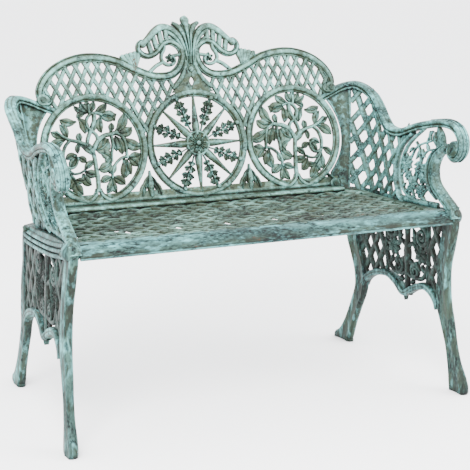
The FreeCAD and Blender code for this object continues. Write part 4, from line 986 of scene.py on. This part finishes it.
shoulder = carry(shoulder_path, FLAT, 0.56, base=0.0, tall=5.0)


def on_shoulder(s, across, w):
    """Straight lines from the belt's top (across 0) to the upper wall's foot (across 1), w higher."""
    wall_foot = on_end(s, 436 + 0 * s, -3.0 + 0 * s)
    belt_y = np.minimum(wall_foot[:, 1], 170)
    belt_top = on_skirt(belt_y, np.interp(belt_y, [-240, -100, 0, 90], [452, 440, 430, 424]), 6.0 + 0 * s)
    place = belt_top + (wall_foot - belt_top) * across[:, None]
    place[:, 2] += w
    return place


leg_paint = verdigris("verdigris_legs",
                      ((0.016, 0.024, 0.015), (0.03, 0.05, 0.036),
                       (0.055, 0.13, 0.11), (0.14, 0.43, 0.43)),
                      ((0.006, 0.008, 0.006), (0.0018, 0.0024, 0.002)),
                      worn=(0.004, 0.005, 0.005), worn_from=0.51, stretch=(1.0, 1.0, 0.35))
both_ends("legs", legs, on_skirt, leg_paint)
both_ends("belt", belt, on_skirt, leg_paint)
both_ends("plinth", plinth, on_end, leg_paint)
both_ends("shoulder", [shoulder], on_shoulder, leg_paint)

# ---------------------------------------------------------------------------------------------
# End castings, lower panel.  Between the legs a vase with scrolls stands on the arch, cast in one
# with them, with flower heads and small volutes beside it and lattice diamonds against each leg.
# ---------------------------------------------------------------------------------------------
def volute(centre, outer, inner, turns, start, hand):
    """A spiral whose radius falls evenly from outer to inner over its turns."""
    t = np.linspace(0, 1, int(22 * turns))
    angle = math.radians(start) + hand * t * turns * 2 * math.pi
    radius = outer + (inner - outer) * t
    return np.column_stack([centre[0] + radius * np.cos(angle), centre[1] + radius * np.sin(angle)])


VASE_MIDDLE = -52
vase_z = [432, 410, 390, 372, 352, 334, 318, 300, 282, 262, 240, 222, 206]
vase_half = [26, 20, 13, 9, 8, 12, 15, 14, 9, 11, 9, 12, 6]
panel = [between(np.column_stack([VASE_MIDDLE - np.array(vase_half), vase_z])[::-1],
                 np.column_stack([VASE_MIDDLE + np.array(vase_half), vase_z])[::-1], ARM_BAR, base=0.0,
                 tall=7.0)]
for middle, hand in ((-118, 1), (14, -1)):
    turn = volute((middle, 368), 27, 5, 1.75, 90, hand)
    panel.append(carry(turn, ROUND_BAR, spread([(0, 8), (.6, 6.6), (1, 4.4)], len(turn)), base=0.0,
                       tall=7.0))
    panel.append(boss((middle, 368), 6, 8))
    panel += flowers((VASE_MIDDLE - hand * 60, 322), 30, 8, 10)
    low = volute((VASE_MIDDLE - hand * 36, 272), 19, 4, 1.5, 100, -hand)
    panel.append(carry(low, ROUND_BAR, spread([(0, 7), (1, 4)], len(low)), base=0.0, tall=6.5))
    tie = smooth([(middle, 395), (middle + hand * 34, 412), (VASE_MIDDLE, 418)], 5)
    panel.append(carry(tie, ROUND_BAR, 9.0, base=0.0, tall=7.0))
    stalk = smooth([(VASE_MIDDLE, 330), (VASE_MIDDLE - hand * 26, 344), (VASE_MIDDLE - hand * 40, 330)], 5)
    panel.append(carry(stalk, ROUND_BAR, 6.5, base=0.0, tall=6.0))
    stalk = smooth([(VASE_MIDDLE, 262), (VASE_MIDDLE - hand * 30, 254), (VASE_MIDDLE - hand * 70, 262),
                    (VASE_MIDDLE - hand * 92, 300)], 5)
    panel.append(carry(stalk, ROUND_BAR, 6.5, base=0.0, tall=6.0))
    for foot, tip, half in (((10, 300), (30, 288), 7), ((40, 344), (18, 360), 6),
                            ((78, 336), (92, 356), 7), ((84, 316), (104, 300), 7),
                            ((40, 300), (58, 276), 7), ((66, 296), (78, 272), 6),
                            ((16, 240), (34, 246), 6), ((70, 398), (96, 410), 7),
                            ((34, 356), (24, 384), 6)):
        leaf_foot = (VASE_MIDDLE - hand * foot[0], foot[1])
        leaf_tip = (VASE_MIDDLE - hand * tip[0], tip[1])
        panel.append(lens(leaf_foot, leaf_tip, half * 1.5, .1 * hand, out=6.5))
    panel.append(lens((VASE_MIDDLE - hand * 52, 392), (VASE_MIDDLE - hand * 44, 426), 8, 0, out=6.5))
arch_low = [tuple(p) for p in arch_path if -182 < p[0] < 142]
skirt_field = [(-206, 428), (-202, 300)] + arch_low + [(176, 300), (176, 402)]


def in_skirt_field(points):
    """Inside the lower panel, beside its middle motif."""
    return within(skirt_field, points) & (np.abs(points[:, 0] - VASE_MIDDLE) > 92)


panel += lattice(in_skirt_field, 46.0, 78.0, 9.6, 0.0, 4.8, .6, offset=(-155.0, 350.0), span=12, lap=3.0,
                 template=ARM_BAR)
panel.append(carry(smooth([(-146, 425), (-146, 340), (-140, 250)], 6), ROUND_BAR, 4.0, base=0.0, tall=6.0))
panel.append(carry(smooth([(42, 415), (42, 340), (38, 250)], 6), ROUND_BAR, 4.0, base=0.0, tall=6.0))
# Painted shade: the lower panels take a much darker copy of the verdigris, standing for the shadow under
# the seat.
shaded_skirt_paint = verdigris("verdigris_shaded_lower_panels",
                        ((0.004, 0.005, 0.003), (0.006, 0.009, 0.006),
                         (0.012, 0.022, 0.017), (0.036, 0.085, 0.075)),
                        ((0.004, 0.005, 0.003), (0.001, 0.0013, 0.0011)),
                        worn=(0.003, 0.0034, 0.003), worn_from=0.54)
both_ends("lower_panel", panel, on_skirt, shaded_skirt_paint)

# ---------------------------------------------------------------------------------------------
# Bolts, washers and nuts.  Plain steel hexagon bolts join the four castings; they were painted
# over with the bench and have rusted at their edges.
# ---------------------------------------------------------------------------------------------
steel = bpy.data.materials.new("rusted_fastener_steel")
steel.use_nodes = True
tree_nodes, tree_links = steel.node_tree.nodes, steel.node_tree.links
steel_shader = tree_nodes["Principled BSDF"]
steel_where = tree_nodes.new("ShaderNodeTexCoord")
steel_noise = tree_nodes.new("ShaderNodeTexNoise")
steel_noise.inputs["Scale"].default_value = 180.0
steel_noise.inputs["Detail"].default_value = 6.0
steel_ramp = tree_nodes.new("ShaderNodeValToRGB")
steel_ramp.color_ramp.elements[0].position = 0.40
steel_ramp.color_ramp.elements[0].color = (0.030, 0.060, 0.048, 1.0)
steel_ramp.color_ramp.elements[1].position = 0.62
steel_ramp.color_ramp.elements[1].color = (0.014, 0.016, 0.011, 1.0)
steel_bump = tree_nodes.new("ShaderNodeBump")
steel_bump.inputs["Strength"].default_value = 0.4
steel_bump.inputs["Distance"].default_value = 0.0004
steel_shader.inputs["Roughness"].default_value = 0.6
steel_shader.inputs["Specular IOR Level"].default_value = 0.1
tree_links.new(steel_where.outputs["Object"], steel_noise.inputs["Vector"])
tree_links.new(steel_noise.outputs["Fac"], steel_ramp.inputs["Fac"])
tree_links.new(steel_ramp.outputs["Color"], steel_shader.inputs["Base Color"])
tree_links.new(steel_noise.outputs["Fac"], steel_bump.inputs["Height"])
tree_links.new(steel_bump.outputs["Normal"], steel_shader.inputs["Normal"])
for node_name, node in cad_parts.items():
    if node_name.endswith(("_bolt", "_washer", "_nut")):
        if node.material_slots:
            node.material_slots[0].material = steel
        else:
            node.data.materials.append(steel)

# ---------------------------------------------------------------------------------------------
# Studio: a plain pale floor, soft light from large panels, and the camera.
# ---------------------------------------------------------------------------------------------
floor_mesh = bpy.data.meshes.new("floor")
FLOOR_HALF, FLOOR_LEVEL = 90, -0.001
floor_corners = [(x * FLOOR_HALF, y * FLOOR_HALF, FLOOR_LEVEL) for x,
                 y in ((-1, -1), (1, -1), (1, 1), (-1, 1))]
floor_mesh.from_pydata(floor_corners, [], [(0, 1, 2, 3)])
floor = bpy.data.objects.new("floor", floor_mesh)
bpy.context.scene.collection.objects.link(floor)
floor_paint = bpy.data.materials.new("pale_floor")
floor_paint.use_nodes = True
floor_shader = floor_paint.node_tree.nodes["Principled BSDF"]
floor_shader.inputs["Base Color"].default_value = (0.94, 0.94, 0.94, 1.0)
floor_shader.inputs["Roughness"].default_value = 0.9
floor_shader.inputs["Specular IOR Level"].default_value = 0.1
floor_mesh.materials.append(floor_paint)

world = bpy.data.worlds.new("studio")
world.use_nodes = True
world.node_tree.nodes["Background"].inputs["Color"].default_value = (0.97, 0.98, 1.0, 1.0)
world.node_tree.nodes["Background"].inputs["Strength"].default_value = 4.2
bpy.context.scene.world = world
for light_name, spot, aim, width, power in (("key", (-1.8, -2.6, 3.4), (0, 0, 0.5), 2.0, 420),
                                            ("fill", (3.2, -2.2, 2.2), (0, 0, 0.5), 2.4, 140)):
    lamp = bpy.data.lights.new(light_name, "AREA")
    lamp.size = width
    lamp.energy = power
    lamp_object = bpy.data.objects.new(light_name, lamp)
    away = Vector(spot) - Vector(aim)
    lamp_object.matrix_world = Matrix.Translation(spot) @ away.to_track_quat("Z", "Y").to_matrix().to_4x4()
    bpy.context.scene.collection.objects.link(lamp_object)

CAMERA_AT = (-1.3116, -2.8463, 1.0757)
CAMERA_HEADING, CAMERA_DIP, CAMERA_ROLL = -24.953, 12.276, 0.186
camera = bpy.data.cameras.new("camera")
camera.lens = 99.61
camera.sensor_width = 36.0
camera_object = bpy.data.objects.new("camera", camera)
camera_object.matrix_world = (Matrix.Translation(CAMERA_AT)
                              @ Matrix.Rotation(math.radians(CAMERA_HEADING), 4, "Z")
                              @ Matrix.Rotation(math.radians(90 - CAMERA_DIP), 4, "X")
                              @ Matrix.Rotation(math.radians(CAMERA_ROLL), 4, "Z"))
bpy.context.scene.collection.objects.link(camera_object)
bpy.context.scene.camera = camera_object
